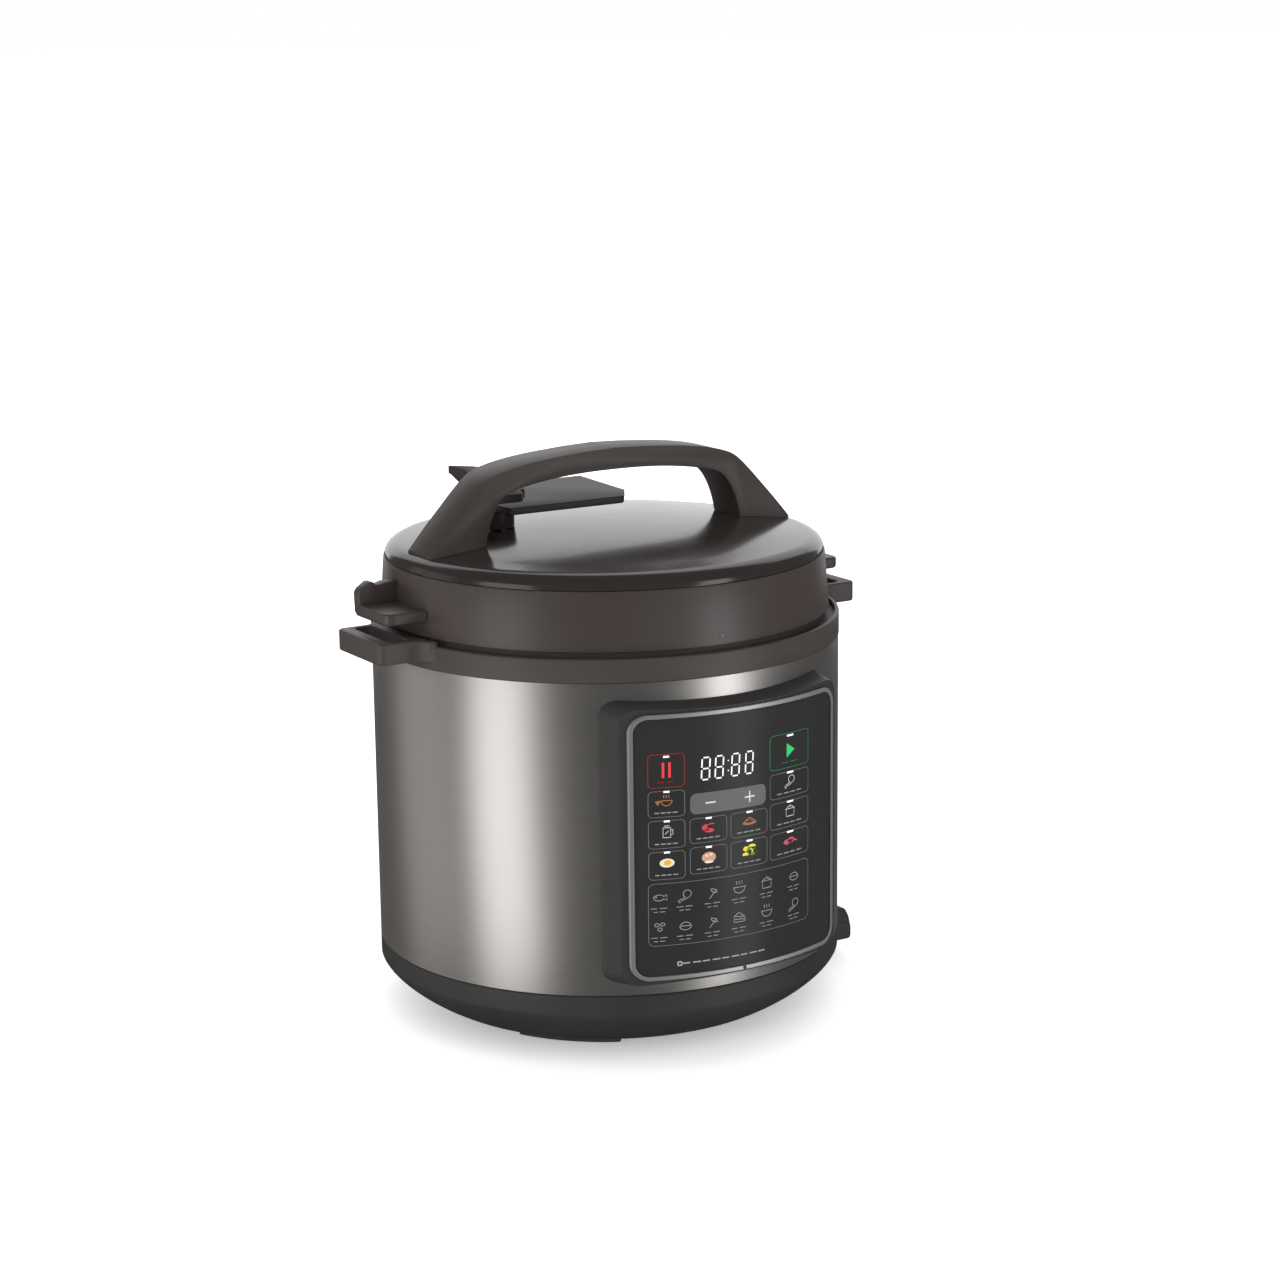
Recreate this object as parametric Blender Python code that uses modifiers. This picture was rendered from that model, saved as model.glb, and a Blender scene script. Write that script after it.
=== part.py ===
"""Electric pressure cooker, 6 litre class, with its lid closed.

Units are metres, +Z is up.  The origin is on the body's axis, on the surface
that the feet stand on.  The control panel faces -Y, the power inlet is on +X
and the condensation cup hangs at the back.
"""

import math

import bmesh
import bpy
from mathutils import Matrix, Vector

# ---------------------------------------------------------------- clearances and facets
GAP = 0.0003                # clearance between touching pieces
ROUND_STEPS = 36            # facets of the large turned pieces
SMALL_STEPS = 16            # facets of the small turned pieces
PANEL_STEPS = 72            # facets of the curved panel pieces

# ---------------------------------------------------------------- overall sizes
BODY_R = 0.135              # outside of the steel sleeve
SLEEVE_H = 0.1758           # length of the steel sleeve
SLEEVE_WALL = 0.001

# ---------------------------------------------------------------- base
FOOT_H = 0.0055
FOOT_RADIAL = 0.0175        # radial width of a rubber foot
FOOT_HALF_ANGLE = 18
BOWL_RIM_Z = 0.041          # where the sleeve meets the plastic base
BOWL_SIDE_Z = 0.0296        # where the base starts to curve in
BOWL_FLOOR_R = BODY_R - 0.044   # radius that the base's curve runs towards
BOWL_CURVE = 1.48           # exponent of the base's curve
BOWL_WALL = 0.0025
FOOT_OUT_R = BOWL_FLOOR_R + 0.0065
FOOT_IN_R = FOOT_OUT_R - FOOT_RADIAL
BASE_OPENING_R = FOOT_IN_R - 0.0040
BASE_LIP_R = BASE_OPENING_R - 0.0060
BASE_LIP_Z = FOOT_H + 0.0018
BASE_FLOOR_TOP_Z = FOOT_H + 0.0040
BASE_SCREW_R = (BASE_OPENING_R + BASE_LIP_R) / 2
BASE_SCREW_L = 0.0078
NOTCH_AZIMUTH = 23.5        # notch in the base's rim, from the front towards +X
NOTCH_W = 0.012
NOTCH_H = 0.0058
VENT_COUNT = 8              # cooling slots in the base plate
VENT_R = (0.030, 0.056)
VENT_W = 0.005

# ---------------------------------------------------------------- upper collar and its grips
SLEEVE_TOP_Z = BOWL_RIM_Z + SLEEVE_H
RING_H = 0.0132             # collar above the sleeve
RING_LEDGE_DROP = 0.003     # ledge inside the collar's outer lip
RING_LIP = 0.002
RING_TONGUE_L = 0.008       # collar's tongue inside the sleeve
RING_TONGUE_T = 0.002
RING_TONGUE_CLEARANCE = 0.0006
RING_FLANGE_T = 0.0062      # flat part between the lip and the inner casing
GRIP_REACH = BODY_R + 0.0236    # outer end of the side grips, from the axis
GRIP_HALF_W = 0.0272
GRIP_T = 0.012
GRIP_RISE = 0.0025          # grip top above the collar's lip
GRIP_ROUND = 0.003
GRIP_SLOT_IN = BODY_R + 0.0035
GRIP_SLOT_W = 0.0115
GRIP_SLOT_HALF_L = 0.0225
RING_BOTTOM_Z = SLEEVE_TOP_Z + GAP
RING_TOP_Z = SLEEVE_TOP_Z + RING_H
RING_LEDGE_Z = RING_TOP_Z - RING_LEDGE_DROP
GRIP_TOP_Z = RING_TOP_Z + GRIP_RISE

# ---------------------------------------------------------------- inner casing
LINER_WALL = 0.0012
LINER_FLOOR_Z = BOWL_RIM_Z + 0.001
LINER_HOLE_R = 0.030
COLLAR_R = BODY_R - SLEEVE_WALL - 0.0085    # locking collar on top of the inner casing
LINER_R = COLLAR_R - 0.0103                 # outside of the inner casing's wall
SHELF_Z = SLEEVE_TOP_Z + 0.0004             # shelf that carries the inner pot
COLLAR_TOP_Z = SHELF_Z + 0.0228
LUG_COUNT = 6
LUG_W = 0.022
LUG_T = 0.0018
LUG_IN_R = COLLAR_R - LINER_WALL - 0.0024   # inner face of the collar's lugs
LUG_CLEARANCE = 0.0007
LID_LUG_R = LUG_IN_R - LUG_CLEARANCE        # outer face of the lid's lugs

# ---------------------------------------------------------------- heating, sensing, inner pot
PLATE_R = 0.082             # heating plate
PLATE_T = 0.0100
PLATE_EDGE_SLOPE = (0.012, 0.002)
SENSOR_R = 0.0145
SENSOR_CLEARANCE = 0.0015
SENSOR_STEM_R = 0.0055
SENSOR_STEM_L = 0.007
SENSOR_EDGE = 0.002
PLATE_HOLE_R = SENSOR_R + SENSOR_CLEARANCE
PLATE_BOTTOM_Z = LINER_FLOOR_Z + LINER_WALL + GAP
PLATE_TOP_Z = PLATE_BOTTOM_Z + PLATE_T
SENSOR_CAP_Z = PLATE_BOTTOM_Z + 0.001       # underside of the sensor's cap
BRACKET_TOP_Z = LINER_FLOOR_Z - 0.006
BRACKET_T = 0.0015
BRACKET_HALF_L = LINER_HOLE_R + 0.015
BRACKET_HALF_W = 0.009
SPRING_R = (SENSOR_STEM_R + SENSOR_R) / 2 - 0.0015
SPRING_WIRE_R = 0.0005
SPRING_TURNS = 3
SPRING_POINTS = 10          # per turn
SWITCH_TOP_Z = BRACKET_TOP_Z - BRACKET_T - 0.0007
SWITCH_SIZE = (0.024, 0.014, 0.0118)
SWITCH_Y = -0.023
FUSE_R = 0.0032
FUSE_HALF_L = 0.013
FUSE_Y = 0.055
TERMINAL_R = 0.0022
TERMINAL_L = 0.012
TERMINAL_ANGLES = (125, 145)
TERMINAL_RING_R = PLATE_R - 0.010
POWER_BOARD_X = (-0.044, 0.030)
POWER_BOARD_Y = 0.005 - BOWL_FLOOR_R     # its edge nearest the front
POWER_BOARD_L = 0.048
POWER_BOARD_Z = BASE_FLOOR_TOP_Z + 0.005
BOARD_T = 0.0016
POT_CLEARANCE = 0.003
POT_R = LINER_R - LINER_WALL - POT_CLEARANCE
POT_WALL = 0.0015
POT_CORNER_R = 0.012
POT_RIM_R = LUG_IN_R - 0.0019
POT_RIM_T = 0.0016
POT_BOTTOM_Z = PLATE_TOP_Z + GAP
POT_RIM_Z = SHELF_Z + GAP + POT_RIM_T

# ---------------------------------------------------------------- lid
SKIRT_BOTTOM_Z = RING_TOP_Z + 0.0025
SKIRT_BOTTOM_R = BODY_R - 0.0055
SKIRT_H = 0.0328
SKIRT_TAPER = 0.0025
SKIRT_WALL = 0.0021
SKIRT_TOP_Z = SKIRT_BOTTOM_Z + SKIRT_H
SKIRT_TOP_R = SKIRT_BOTTOM_R - SKIRT_TAPER
SKIRT_FLANGE_IN = 0.0075    # width of the flange under the dome's edge
FIN_REACH = SKIRT_BOTTOM_R + 0.0215
FIN_HALF_W = 0.0215
FIN_BOTTOM_Z = SKIRT_BOTTOM_Z + 0.008
FIN_T = 0.0068
FIN_RIB_W = 0.008
FIN_RIB_H = 0.0187
DOME_R = SKIRT_TOP_R - 0.0007
DOME_SHOULDER_R = DOME_R - 0.0113
DOME_SHOULDER_Z = SKIRT_TOP_Z + 0.0085
DOME_TOP_Z = DOME_SHOULDER_Z + 0.0060
DOME_WALL = 0.0022
DOME_BOSS_R = 0.008
INNER_LID_R = COLLAR_R - LINER_WALL - 0.0061
INNER_LID_BOTTOM_Z = POT_RIM_Z + 0.0049
INNER_LID_RIM_Z = INNER_LID_BOTTOM_Z + 0.009
INNER_LID_RISE = 0.013
SEAL_W = 0.0065
SEAL_CLEARANCE = 0.0007     # the lid's rim turns round the gasket
SEAL_R = INNER_LID_R - LINER_WALL - SEAL_CLEARANCE
RACK_WIRE_R = 0.0012
RACK_CLEARANCE = 0.0004

# ---------------------------------------------------------------- carrying handle
HANDLE_HALF_W = 0.0140
HANDLE_RISE = 0.0457        # top of the arch above the top of the dome
HANDLE_TOP_Z = DOME_TOP_Z + HANDLE_RISE
HANDLE_GRIP_T = 0.0096      # upper shell of the grip
HANDLE_STRIP_T = 0.0029     # lower strip of the grip
HANDLE_UNDER_Z = HANDLE_TOP_Z - HANDLE_GRIP_T - HANDLE_STRIP_T
HANDLE_LEG_OUT = DOME_R - 0.0073
HANDLE_LEG_IN = HANDLE_LEG_OUT - 0.035
HANDLE_STRIP_HALF_L = HANDLE_LEG_IN - 0.018
HANDLE_STRIP_DROP = 0.0062  # how far the strip's ends bend down
HANDLE_STRIP_BEND = 2.4     # how late along the strip they bend
HANDLE_ROUND = 0.0025

# ---------------------------------------------------------------- valves
LEVER_AT = (-(HANDLE_LEG_IN - 0.026), 0.027)    # axis of the steam-release valve
LEVER_HUB_R = 0.0125
LEVER_HUB_WALL = 0.0025
LEVER_T = 0.0042
LEVER_TOP_Z = DOME_TOP_Z + 0.0147       # front edge of the paddle's top face
PADDLE_X = (-0.0050, 0.0820)            # paddle, from the valve's axis
PADDLE_Y = (-0.0270, 0.0360)
PADDLE_CHAMFER = (0.010, 0.017)
PADDLE_RISE = 0.0030                    # how much higher the back edge is
HOOD_H = 0.0048                         # raised body on the paddle's left part
HOOD_RISE = 0.0062                      # how much more it rises towards the back
PIPE_R = 0.0042
PIPE_BORE_R = 0.0022
PIPE_TOP_Z = LEVER_TOP_Z - 0.0095
PIPE_NUT_R = 0.0080
SHIELD_R = 0.0130
SHIELD_WALL = 0.0010
SHIELD_H = 0.0120
WEIGHT_R = 0.0090
WEIGHT_LAP = 0.0030                     # how far the weight's sleeve reaches down the pipe
FLOAT_AT = (0.012, INNER_LID_R - 0.0332)
FLOAT_R = 0.0030
FLOAT_COLLAR_R = 0.0048
FLOAT_CLEARANCE = 0.0008
FLOAT_TRAVEL = 0.004
FLOAT_SEAL_R = 0.0065
FLOAT_SEAL_DROP = 0.0018                # room over the raised seal, under the curved lid

# ---------------------------------------------------------------- control panel
PANEL_DEPTH = 0.0150        # overlay's face in front of the sleeve
PANEL_R = BODY_R + PANEL_DEPTH
PANEL_HALF_W = 0.0665
PANEL_BOTTOM_Z = BOWL_RIM_Z + 0.0130
PANEL_TOP_Z = SLEEVE_TOP_Z - 0.0143
PANEL_CORNER_R = 0.0100
BEZEL_W = 0.0030
BEZEL_PROUD = 0.0012
OVERLAY_T = 0.0008
PANEL_CUTTER_HALF = 0.035   # reach of the panel outline to either side of the sleeve
HOUSING_FLARE = 0.0145      # how far the housing's prism widens towards its back
HOUSING_WALL = 0.0022
HOUSING_SIDE_WALL = 0.0062
HOLLOW_R = PANEL_R - OVERLAY_T - GAP - HOUSING_WALL
CABLE_HOLE_HALF_W = 0.015
CABLE_HOLE_Z = (PANEL_BOTTOM_Z + 0.026, PANEL_BOTTOM_Z + 0.046)
BOARD_FRONT_Y = -(BODY_R + BOARD_T + 0.002)
BOARD_HALF_W = math.sqrt(HOLLOW_R ** 2 - BOARD_FRONT_Y ** 2) - 0.002
BOARD_BOTTOM_Z = PANEL_BOTTOM_Z + 0.012
BOARD_TOP_Z = PANEL_TOP_Z - 0.012
CHIP_HALF_W = 0.010
CHIP_H = 0.014
CHIP_T = 0.002
DISPLAY_HALF_W = 0.024
DISPLAY_H = 0.020
DISPLAY_DROP = 0.012        # display's top below the board's top
DISPLAY_FRONT_Y = -math.sqrt((HOLLOW_R - 0.0008) ** 2 - DISPLAY_HALF_W ** 2)
BACK_Y = PANEL_R + BEZEL_PROUD

# ---------------------------------------------------------------- power inlet
INLET_REACH = BODY_R + 0.020
INLET_HALF_W = 0.0310
INLET_Z = (FOOT_H + 0.0045, FOOT_H + 0.0250)
INLET_STEP_H = 0.007        # upright lower part of the block's outer face
INLET_SLOPE = (0.0052, 0.006)
INLET_WALL = 0.0015         # wall between the block's underside and the socket
SOCKET_W = 0.0242           # mouth of the appliance inlet
SOCKET_H = 0.0140
SOCKET_WALL = 0.0015
SOCKET_DEPTH = 0.0150
WINDOW_CLEARANCE = 0.0025   # hole in the base behind the socket
SOCKET_FACE_X = INLET_REACH - 0.0005
SOCKET_Z = INLET_Z[0] + INLET_WALL + SOCKET_WALL + GAP + SOCKET_H / 2
PIN_RECESS = 0.0050         # pin ends behind the socket's mouth
PIN_TAIL = 0.008            # pin behind the socket
PIN_HALF = (0.0011, 0.0020)
PIN_SPREAD = 0.007
PIN_OFFSET_Z = 0.002

# ---------------------------------------------------------------- condensation cup
CUP_W = 0.050
CUP_H = 0.052
CUP_DEPTH = 0.0125
CUP_TOP_Z = SLEEVE_TOP_Z - 0.0108
CUP_WALL = 0.0016
CUP_FRONT_Y = BACK_Y - CUP_DEPTH
CUP_BRACKET_HALF_W = 0.016
CUP_BRACKET_DROP = (0.034, 0.004)

# ---------------------------------------------------------------- screws
SCREW_R = 0.0015
SCREW_HEAD_R = 0.0028
SCREW_HEAD_H = 0.0018
CENTRE_SCREW_R = 0.0025


# ---------------------------------------------------------------- scene and materials
def clear_scene():
    for old in list(bpy.data.objects):
        bpy.data.objects.remove(old, do_unlink=True)


def collection(name):
    group = bpy.data.collections.new(name)
    bpy.context.scene.collection.children.link(group)
    return group


def material(name, colour, roughness, metallic=0.0):
    made = bpy.data.materials.new(name)
    made.use_nodes = True
    shader = made.node_tree.nodes["Principled BSDF"]
    shader.inputs["Base Color"].default_value = (*colour, 1.0)
    shader.inputs["Roughness"].default_value = roughness
    shader.inputs["Metallic"].default_value = metallic
    return made


clear_scene()
PARTS = collection("pressure_cooker")
CUTTERS = collection("cutters")

STEEL = material("brushed_steel", (0.52, 0.51, 0.50), 0.34, 1.0)
POT_STEEL = material("pot_steel", (0.60, 0.60, 0.59), 0.22, 1.0)
ALUMINIUM = material("cast_aluminium", (0.62, 0.62, 0.62), 0.45, 1.0)
BRASS = material("brass", (0.66, 0.50, 0.22), 0.3, 1.0)
SATIN_BLACK = material("satin_black_plastic", (0.045, 0.042, 0.041), 0.42)
GLOSS_BLACK = material("gloss_black_plastic", (0.022, 0.021, 0.021), 0.07)
TRIM = material("silver_trim", (0.55, 0.55, 0.54), 0.28, 1.0)
OVERLAY = material("printed_overlay", (0.016, 0.016, 0.017), 0.12)
RUBBER = material("foot_rubber", (0.03, 0.03, 0.03), 0.85)
SILICONE = material("silicone", (0.72, 0.71, 0.67), 0.55)
SMOKED = material("smoked_plastic", (0.10, 0.10, 0.11), 0.15)
BOARD = material("circuit_board", (0.03, 0.16, 0.07), 0.5)
WHITE_PLASTIC = material("white_plastic", (0.75, 0.75, 0.73), 0.45)


# ---------------------------------------------------------------- modelling helpers
def place(mesh, name, mat, at=(0, 0, 0), group=None):
    """Put a mesh in the scene as one named object."""
    made = bpy.data.objects.new(name, mesh)
    made.location = at
    (group or PARTS).objects.link(made)
    if mat:
        mesh.materials.append(mat)
    return made


def as_cutter(made):
    """Make an object a hidden tool for Boolean modifiers."""
    for group in list(made.users_collection):
        group.objects.unlink(made)
    CUTTERS.objects.link(made)
    made.hide_render = True
    made.display_type = "WIRE"
    return made


def turned(name, profile, mat=None, at=(0, 0, 0), steps=ROUND_STEPS, closed=True):
    """Turn a profile of (radius, height) points round Z with a Screw modifier.

    The profile runs down the outer side first.
    """
    mesh = bpy.data.meshes.new(name)
    shape = bmesh.new()
    points = [shape.verts.new((r, 0.0, z)) for r, z in profile]
    for first, second in zip(points, points[1:]):
        shape.edges.new((first, second))
    if closed:
        shape.edges.new((points[-1], points[0]))
    shape.to_mesh(mesh)
    shape.free()
    made = place(mesh, name, mat, at)
    screw = made.modifiers.new("Turn", "SCREW")
    screw.axis = "Z"
    screw.angle = math.tau
    screw.steps = steps
    screw.render_steps = steps
    screw.use_merge_vertices = True
    screw.merge_threshold = 0.00001
    screw.use_smooth_shade = True
    return made


def box(name, low, high, mat=None, at=(0, 0, 0)):
    """A box between two corners, given from the object's own origin."""
    mesh = bpy.data.meshes.new(name)
    shape = bmesh.new()
    bmesh.ops.create_cube(shape, size=1.0)
    low, high = Vector(low), Vector(high)
    size = high - low
    middle = (high + low) / 2
    bmesh.ops.scale(shape, vec=size, verts=shape.verts)
    bmesh.ops.translate(shape, vec=middle, verts=shape.verts)
    shape.to_mesh(mesh)
    shape.free()
    return place(mesh, name, mat, at)


def cylinder(name, radius, bottom, top, mat=None, at=(0, 0, 0), steps=SMALL_STEPS):
    mesh = bpy.data.meshes.new(name)
    shape = bmesh.new()
    bmesh.ops.create_cone(
        shape, cap_ends=True, segments=steps,
        radius1=radius, radius2=radius, depth=top - bottom,
    )
    bmesh.ops.translate(shape, vec=(0, 0, (top + bottom) / 2), verts=shape.verts)
    shape.to_mesh(mesh)
    shape.free()
    return place(mesh, name, mat, at)


def slab(name, outline, half_thickness, mat=None, at=(0, 0, 0), upright=False):
    """A flat outline given a thickness: lying flat, or upright in the XZ plane."""
    curve = bpy.data.curves.new(name, "CURVE")
    curve.dimensions = "2D"
    curve.fill_mode = "BOTH"
    curve.extrude = half_thickness
    spline = curve.splines.new("POLY")
    spline.points.add(len(outline) - 1)
    for point, (x, y) in zip(spline.points, outline):
        point.co = (x, y, 0, 1)
    spline.use_cyclic_u = True
    flat = bpy.data.objects.new(name, curve)
    PARTS.objects.link(flat)
    if upright:
        flat.rotation_euler = (math.pi / 2, 0, 0)
    bpy.context.view_layer.update()
    mesh = bpy.data.meshes.new_from_object(flat.evaluated_get(bpy.context.evaluated_depsgraph_get()))
    mesh.transform(flat.matrix_world)
    bpy.data.objects.remove(flat, do_unlink=True)
    bpy.data.curves.remove(curve)
    shape = bmesh.new()
    shape.from_mesh(mesh)
    bmesh.ops.remove_doubles(shape, verts=shape.verts, dist=0.000001)
    inside_caps = [edge for edge in shape.edges if edge.calc_face_angle(1.0) < 0.001]
    bmesh.ops.dissolve_edges(shape, edges=inside_caps)
    bmesh.ops.recalc_face_normals(shape, faces=shape.faces)
    shape.to_mesh(mesh)
    shape.free()
    mesh.name = name
    return place(mesh, name, mat, at)


def rounded(made, width, segments=2, angle=40):
    bevel = made.modifiers.new("Round", "BEVEL")
    bevel.width = width
    bevel.segments = segments
    bevel.limit_method = "ANGLE"
    bevel.angle_limit = math.radians(angle)
    return made


def combine(made, other, operation):
    step = made.modifiers.new(operation.title(), "BOOLEAN")
    step.operation = operation
    step.object = other
    step.solver = "EXACT"
    return made


def cut(made, *cutters):
    for cutter in cutters:
        combine(made, as_cutter(cutter), "DIFFERENCE")
    return made


def join(made, *others):
    for other in others:
        combine(made, as_cutter(other), "UNION")
    return made


def keep_inside(made, limit):
    return combine(made, as_cutter(limit), "INTERSECT")


def ring_of_boxes(name, count, low, high, start=0.0):
    """A set of equal boxes, evenly spaced round Z, in one mesh."""
    mesh = bpy.data.meshes.new(name)
    shape = bmesh.new()
    low, high = Vector(low), Vector(high)
    for index in range(count):
        made = bmesh.ops.create_cube(shape, size=1.0)
        bmesh.ops.scale(shape, vec=high - low, verts=made["verts"])
        bmesh.ops.translate(shape, vec=(high + low) / 2, verts=made["verts"])
        turn = Matrix.Rotation(start + math.tau * index / count, 3, "Z")
        bmesh.ops.rotate(shape, matrix=turn, verts=made["verts"])
    shape.to_mesh(mesh)
    shape.free()
    return place(mesh, name, None)


def round_rect(half_w, low, high, radius, steps=4):
    """Outline of a rounded rectangle from -half_w to half_w and low to high."""
    outline = []
    corners = (
        (half_w - radius, high - radius, 0),
        (-half_w + radius, high - radius, 90),
        (-half_w + radius, low + radius, 180),
        (half_w - radius, low + radius, 270),
    )
    for x, y, start in corners:
        for step in range(steps + 1):
            angle = math.radians(start + 90 * step / steps)
            outline.append((x + radius * math.cos(angle), y + radius * math.sin(angle)))
    return outline


def sleeve_of(name, inner, outer, bottom, top, steps=PANEL_STEPS):
    """A plain turned tube."""
    loop = [(outer, top), (outer, bottom), (inner, bottom), (inner, top)]
    return turned(name, loop, steps=steps)


# ---------------------------------------------------------------- base
def bowl_side(grow=0.0, steps=6):
    """Points down the base's curved side, from its straight wall to its floor."""
    last = math.asin((1 - FOOT_H / BOWL_SIDE_Z) ** (1 / BOWL_CURVE))
    points = []
    for step in range(steps + 1):
        angle = last * step / steps
        radius = BOWL_FLOOR_R + (BODY_R - BOWL_FLOOR_R) * math.cos(angle) ** BOWL_CURVE
        height = BOWL_SIDE_Z * (1 - math.sin(angle) ** BOWL_CURVE)
        points.append((radius + grow, height))
    return points


def base_housing():
    """Moulded bowl: wall, floor ring, a notch at the rim and the hole for the inlet."""
    rim_z = BOWL_RIM_Z - GAP
    outer = [(BODY_R, rim_z)] + bowl_side()
    inner = [(r - BOWL_WALL, z + BOWL_WALL * 0.6) for r, z in reversed(bowl_side())]
    inner = [(r, z) for r, z in inner if z > BASE_FLOOR_TOP_Z + 0.001]
    floor = [(BASE_OPENING_R, FOOT_H), (BASE_OPENING_R, BASE_LIP_Z), (BASE_LIP_R, BASE_LIP_Z),
             (BASE_LIP_R, BASE_FLOOR_TOP_Z), (inner[0][0] - 0.002, BASE_FLOOR_TOP_Z)]
    made = turned("base_housing", outer + floor + inner + [(BODY_R - BOWL_WALL, rim_z)], SATIN_BLACK)
    notch = box("notch_cutter", (-NOTCH_W / 2, -BODY_R, 0), (NOTCH_W / 2, -FOOT_OUT_R, FOOT_H + NOTCH_H))
    notch.rotation_euler = (0, 0, math.radians(NOTCH_AZIMUTH))
    half_w = SOCKET_W / 2 + SOCKET_WALL + WINDOW_CLEARANCE
    half_h = SOCKET_H / 2 + WINDOW_CLEARANCE
    window = box("inlet_cutter", (FOOT_OUT_R, -half_w, SOCKET_Z - half_h),
                 (BODY_R + 0.01, half_w, SOCKET_Z + half_h))
    cut(made, notch, window)
    for name, (x, y) in base_screw_places().items():
        cut(made, cylinder("hole_" + name, SCREW_R + GAP, 0, FOOT_H + BASE_SCREW_L, at=(x, y, 0)))
    return made


def base_screw_places():
    places = {}
    for index in range(4):
        angle = math.radians(90 * index)
        places[f"base_screw_{index + 1}"] = (
            BASE_SCREW_R * math.cos(angle), BASE_SCREW_R * math.sin(angle))
    return places


def base_plate():
    """Sheet-steel cover under the base, with cooling slots."""
    bottom = FOOT_H + GAP
    top = BASE_LIP_Z - GAP
    made = cylinder("base_plate", BASE_OPENING_R - GAP * 2, bottom, top, STEEL, steps=ROUND_STEPS)
    cut(made, ring_of_boxes("slot_cutter", VENT_COUNT, (VENT_R[0], -VENT_W / 2, 0),
                            (VENT_R[1], VENT_W / 2, top + 0.01), start=math.pi / VENT_COUNT))
    for name, (x, y) in base_screw_places().items():
        cut(made, cylinder("plate_" + name, SCREW_R + GAP, 0, top + 0.01, at=(x, y, 0)))
    return made


def screw(name, at, bottom, shank_top, head_r=SCREW_HEAD_R, shank_r=SCREW_R, head_h=SCREW_HEAD_H):
    """A pan-head screw driven upwards."""
    edge = head_h / 4
    profile = [(0, shank_top), (shank_r, shank_top), (shank_r, bottom + head_h),
               (head_r, bottom + head_h), (head_r, bottom + edge), (head_r - edge * 2, bottom),
               (0, bottom)]
    return turned(name, profile, STEEL, at=(*at, 0), steps=10, closed=False)


def feet():
    """Four rubber pads, each an arc under the base's rim."""
    for index in range(4):
        middle = math.radians(45 + 90 * index)
        outline = []
        for radius, steps, way in ((FOOT_OUT_R, 6, 1), (FOOT_IN_R, 4, -1)):
            for step in range(steps + 1):
                share = way * (2 * step / steps - 1)
                turn = middle + math.radians(FOOT_HALF_ANGLE) * share
                outline.append((radius * math.cos(turn), radius * math.sin(turn)))
        height = FOOT_H - GAP
        made = slab(f"foot_{index + 1}", outline, height / 2, RUBBER, at=(0, 0, height / 2))
        rounded(made, 0.001, 1, 60)


# ---------------------------------------------------------------- steel body
def outer_shell():
    """Brushed-steel sleeve, with a cable hole behind the panel."""
    loop = [(BODY_R, SLEEVE_TOP_Z), (BODY_R, BOWL_RIM_Z),
            (BODY_R - SLEEVE_WALL, BOWL_RIM_Z), (BODY_R - SLEEVE_WALL, SLEEVE_TOP_Z)]
    made = turned("outer_shell", loop, STEEL)
    hole = box("cable_cutter", (-CABLE_HOLE_HALF_W, -BODY_R - 0.005, CABLE_HOLE_Z[0]),
               (CABLE_HOLE_HALF_W, -BODY_R + 0.025, CABLE_HOLE_Z[1]))
    return cut(made, hole)


def upper_ring():
    """Moulded collar: ledge, outer lip, tongue and the two slotted side grips."""
    tongue_r = BODY_R - SLEEVE_WALL - RING_TONGUE_CLEARANCE
    tongue_in = tongue_r - RING_TONGUE_T
    tongue_z = RING_BOTTOM_Z - RING_TONGUE_L
    flange_z = RING_LEDGE_Z - RING_FLANGE_T
    inner_r = COLLAR_R + GAP * 3
    loop = [(BODY_R + GAP, RING_TOP_Z), (BODY_R + GAP, RING_BOTTOM_Z),
            (tongue_r, RING_BOTTOM_Z), (tongue_r, tongue_z), (tongue_in, tongue_z),
            (tongue_in, flange_z), (inner_r, flange_z), (inner_r, RING_LEDGE_Z),
            (BODY_R - RING_LIP - 0.001, RING_LEDGE_Z), (BODY_R - RING_LIP, RING_TOP_Z)]
    made = turned("upper_ring", loop, SATIN_BLACK)
    for side, word in ((1, "right"), (-1, "left")):
        inner = BODY_R - RING_LIP - GAP * 2
        low_x, high_x = sorted((side * inner, side * GRIP_REACH))
        grip = box(f"grip_{word}", (low_x, -GRIP_HALF_W, GRIP_TOP_Z - GRIP_T),
                   (high_x, GRIP_HALF_W, GRIP_TOP_Z))
        rounded(grip, GRIP_ROUND, 2, 60)
        join(made, grip)
    for side, word in ((1, "right"), (-1, "left")):
        low_x, high_x = sorted((side * GRIP_SLOT_IN, side * (GRIP_SLOT_IN + GRIP_SLOT_W)))
        cut(made, box(f"grip_slot_{word}", (low_x, -GRIP_SLOT_HALF_L, GRIP_TOP_Z - GRIP_T - 0.01),
                      (high_x, GRIP_SLOT_HALF_L, GRIP_TOP_Z + 0.01)))
    return made


def locking_liner():
    """Steel inner casing: floor, wall, pot shelf and the collar with its lugs."""
    wall_in = LINER_R - LINER_WALL
    collar_in = COLLAR_R - LINER_WALL
    loop = [(COLLAR_R, COLLAR_TOP_Z), (COLLAR_R, SHELF_Z - LINER_WALL),
            (LINER_R, SHELF_Z - LINER_WALL), (LINER_R, LINER_FLOOR_Z),
            (LINER_HOLE_R, LINER_FLOOR_Z), (LINER_HOLE_R, LINER_FLOOR_Z + LINER_WALL),
            (wall_in, LINER_FLOOR_Z + LINER_WALL), (wall_in, SHELF_Z),
            (collar_in, SHELF_Z), (collar_in, COLLAR_TOP_Z)]
    made = turned("locking_liner", loop, STEEL)
    lugs = ring_of_boxes("collar_lugs", LUG_COUNT,
                         (LUG_IN_R, -LUG_W / 2, COLLAR_TOP_Z - LUG_T),
                         (COLLAR_R - LINER_WALL / 2, LUG_W / 2, COLLAR_TOP_Z))
    return join(made, lugs)


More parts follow.
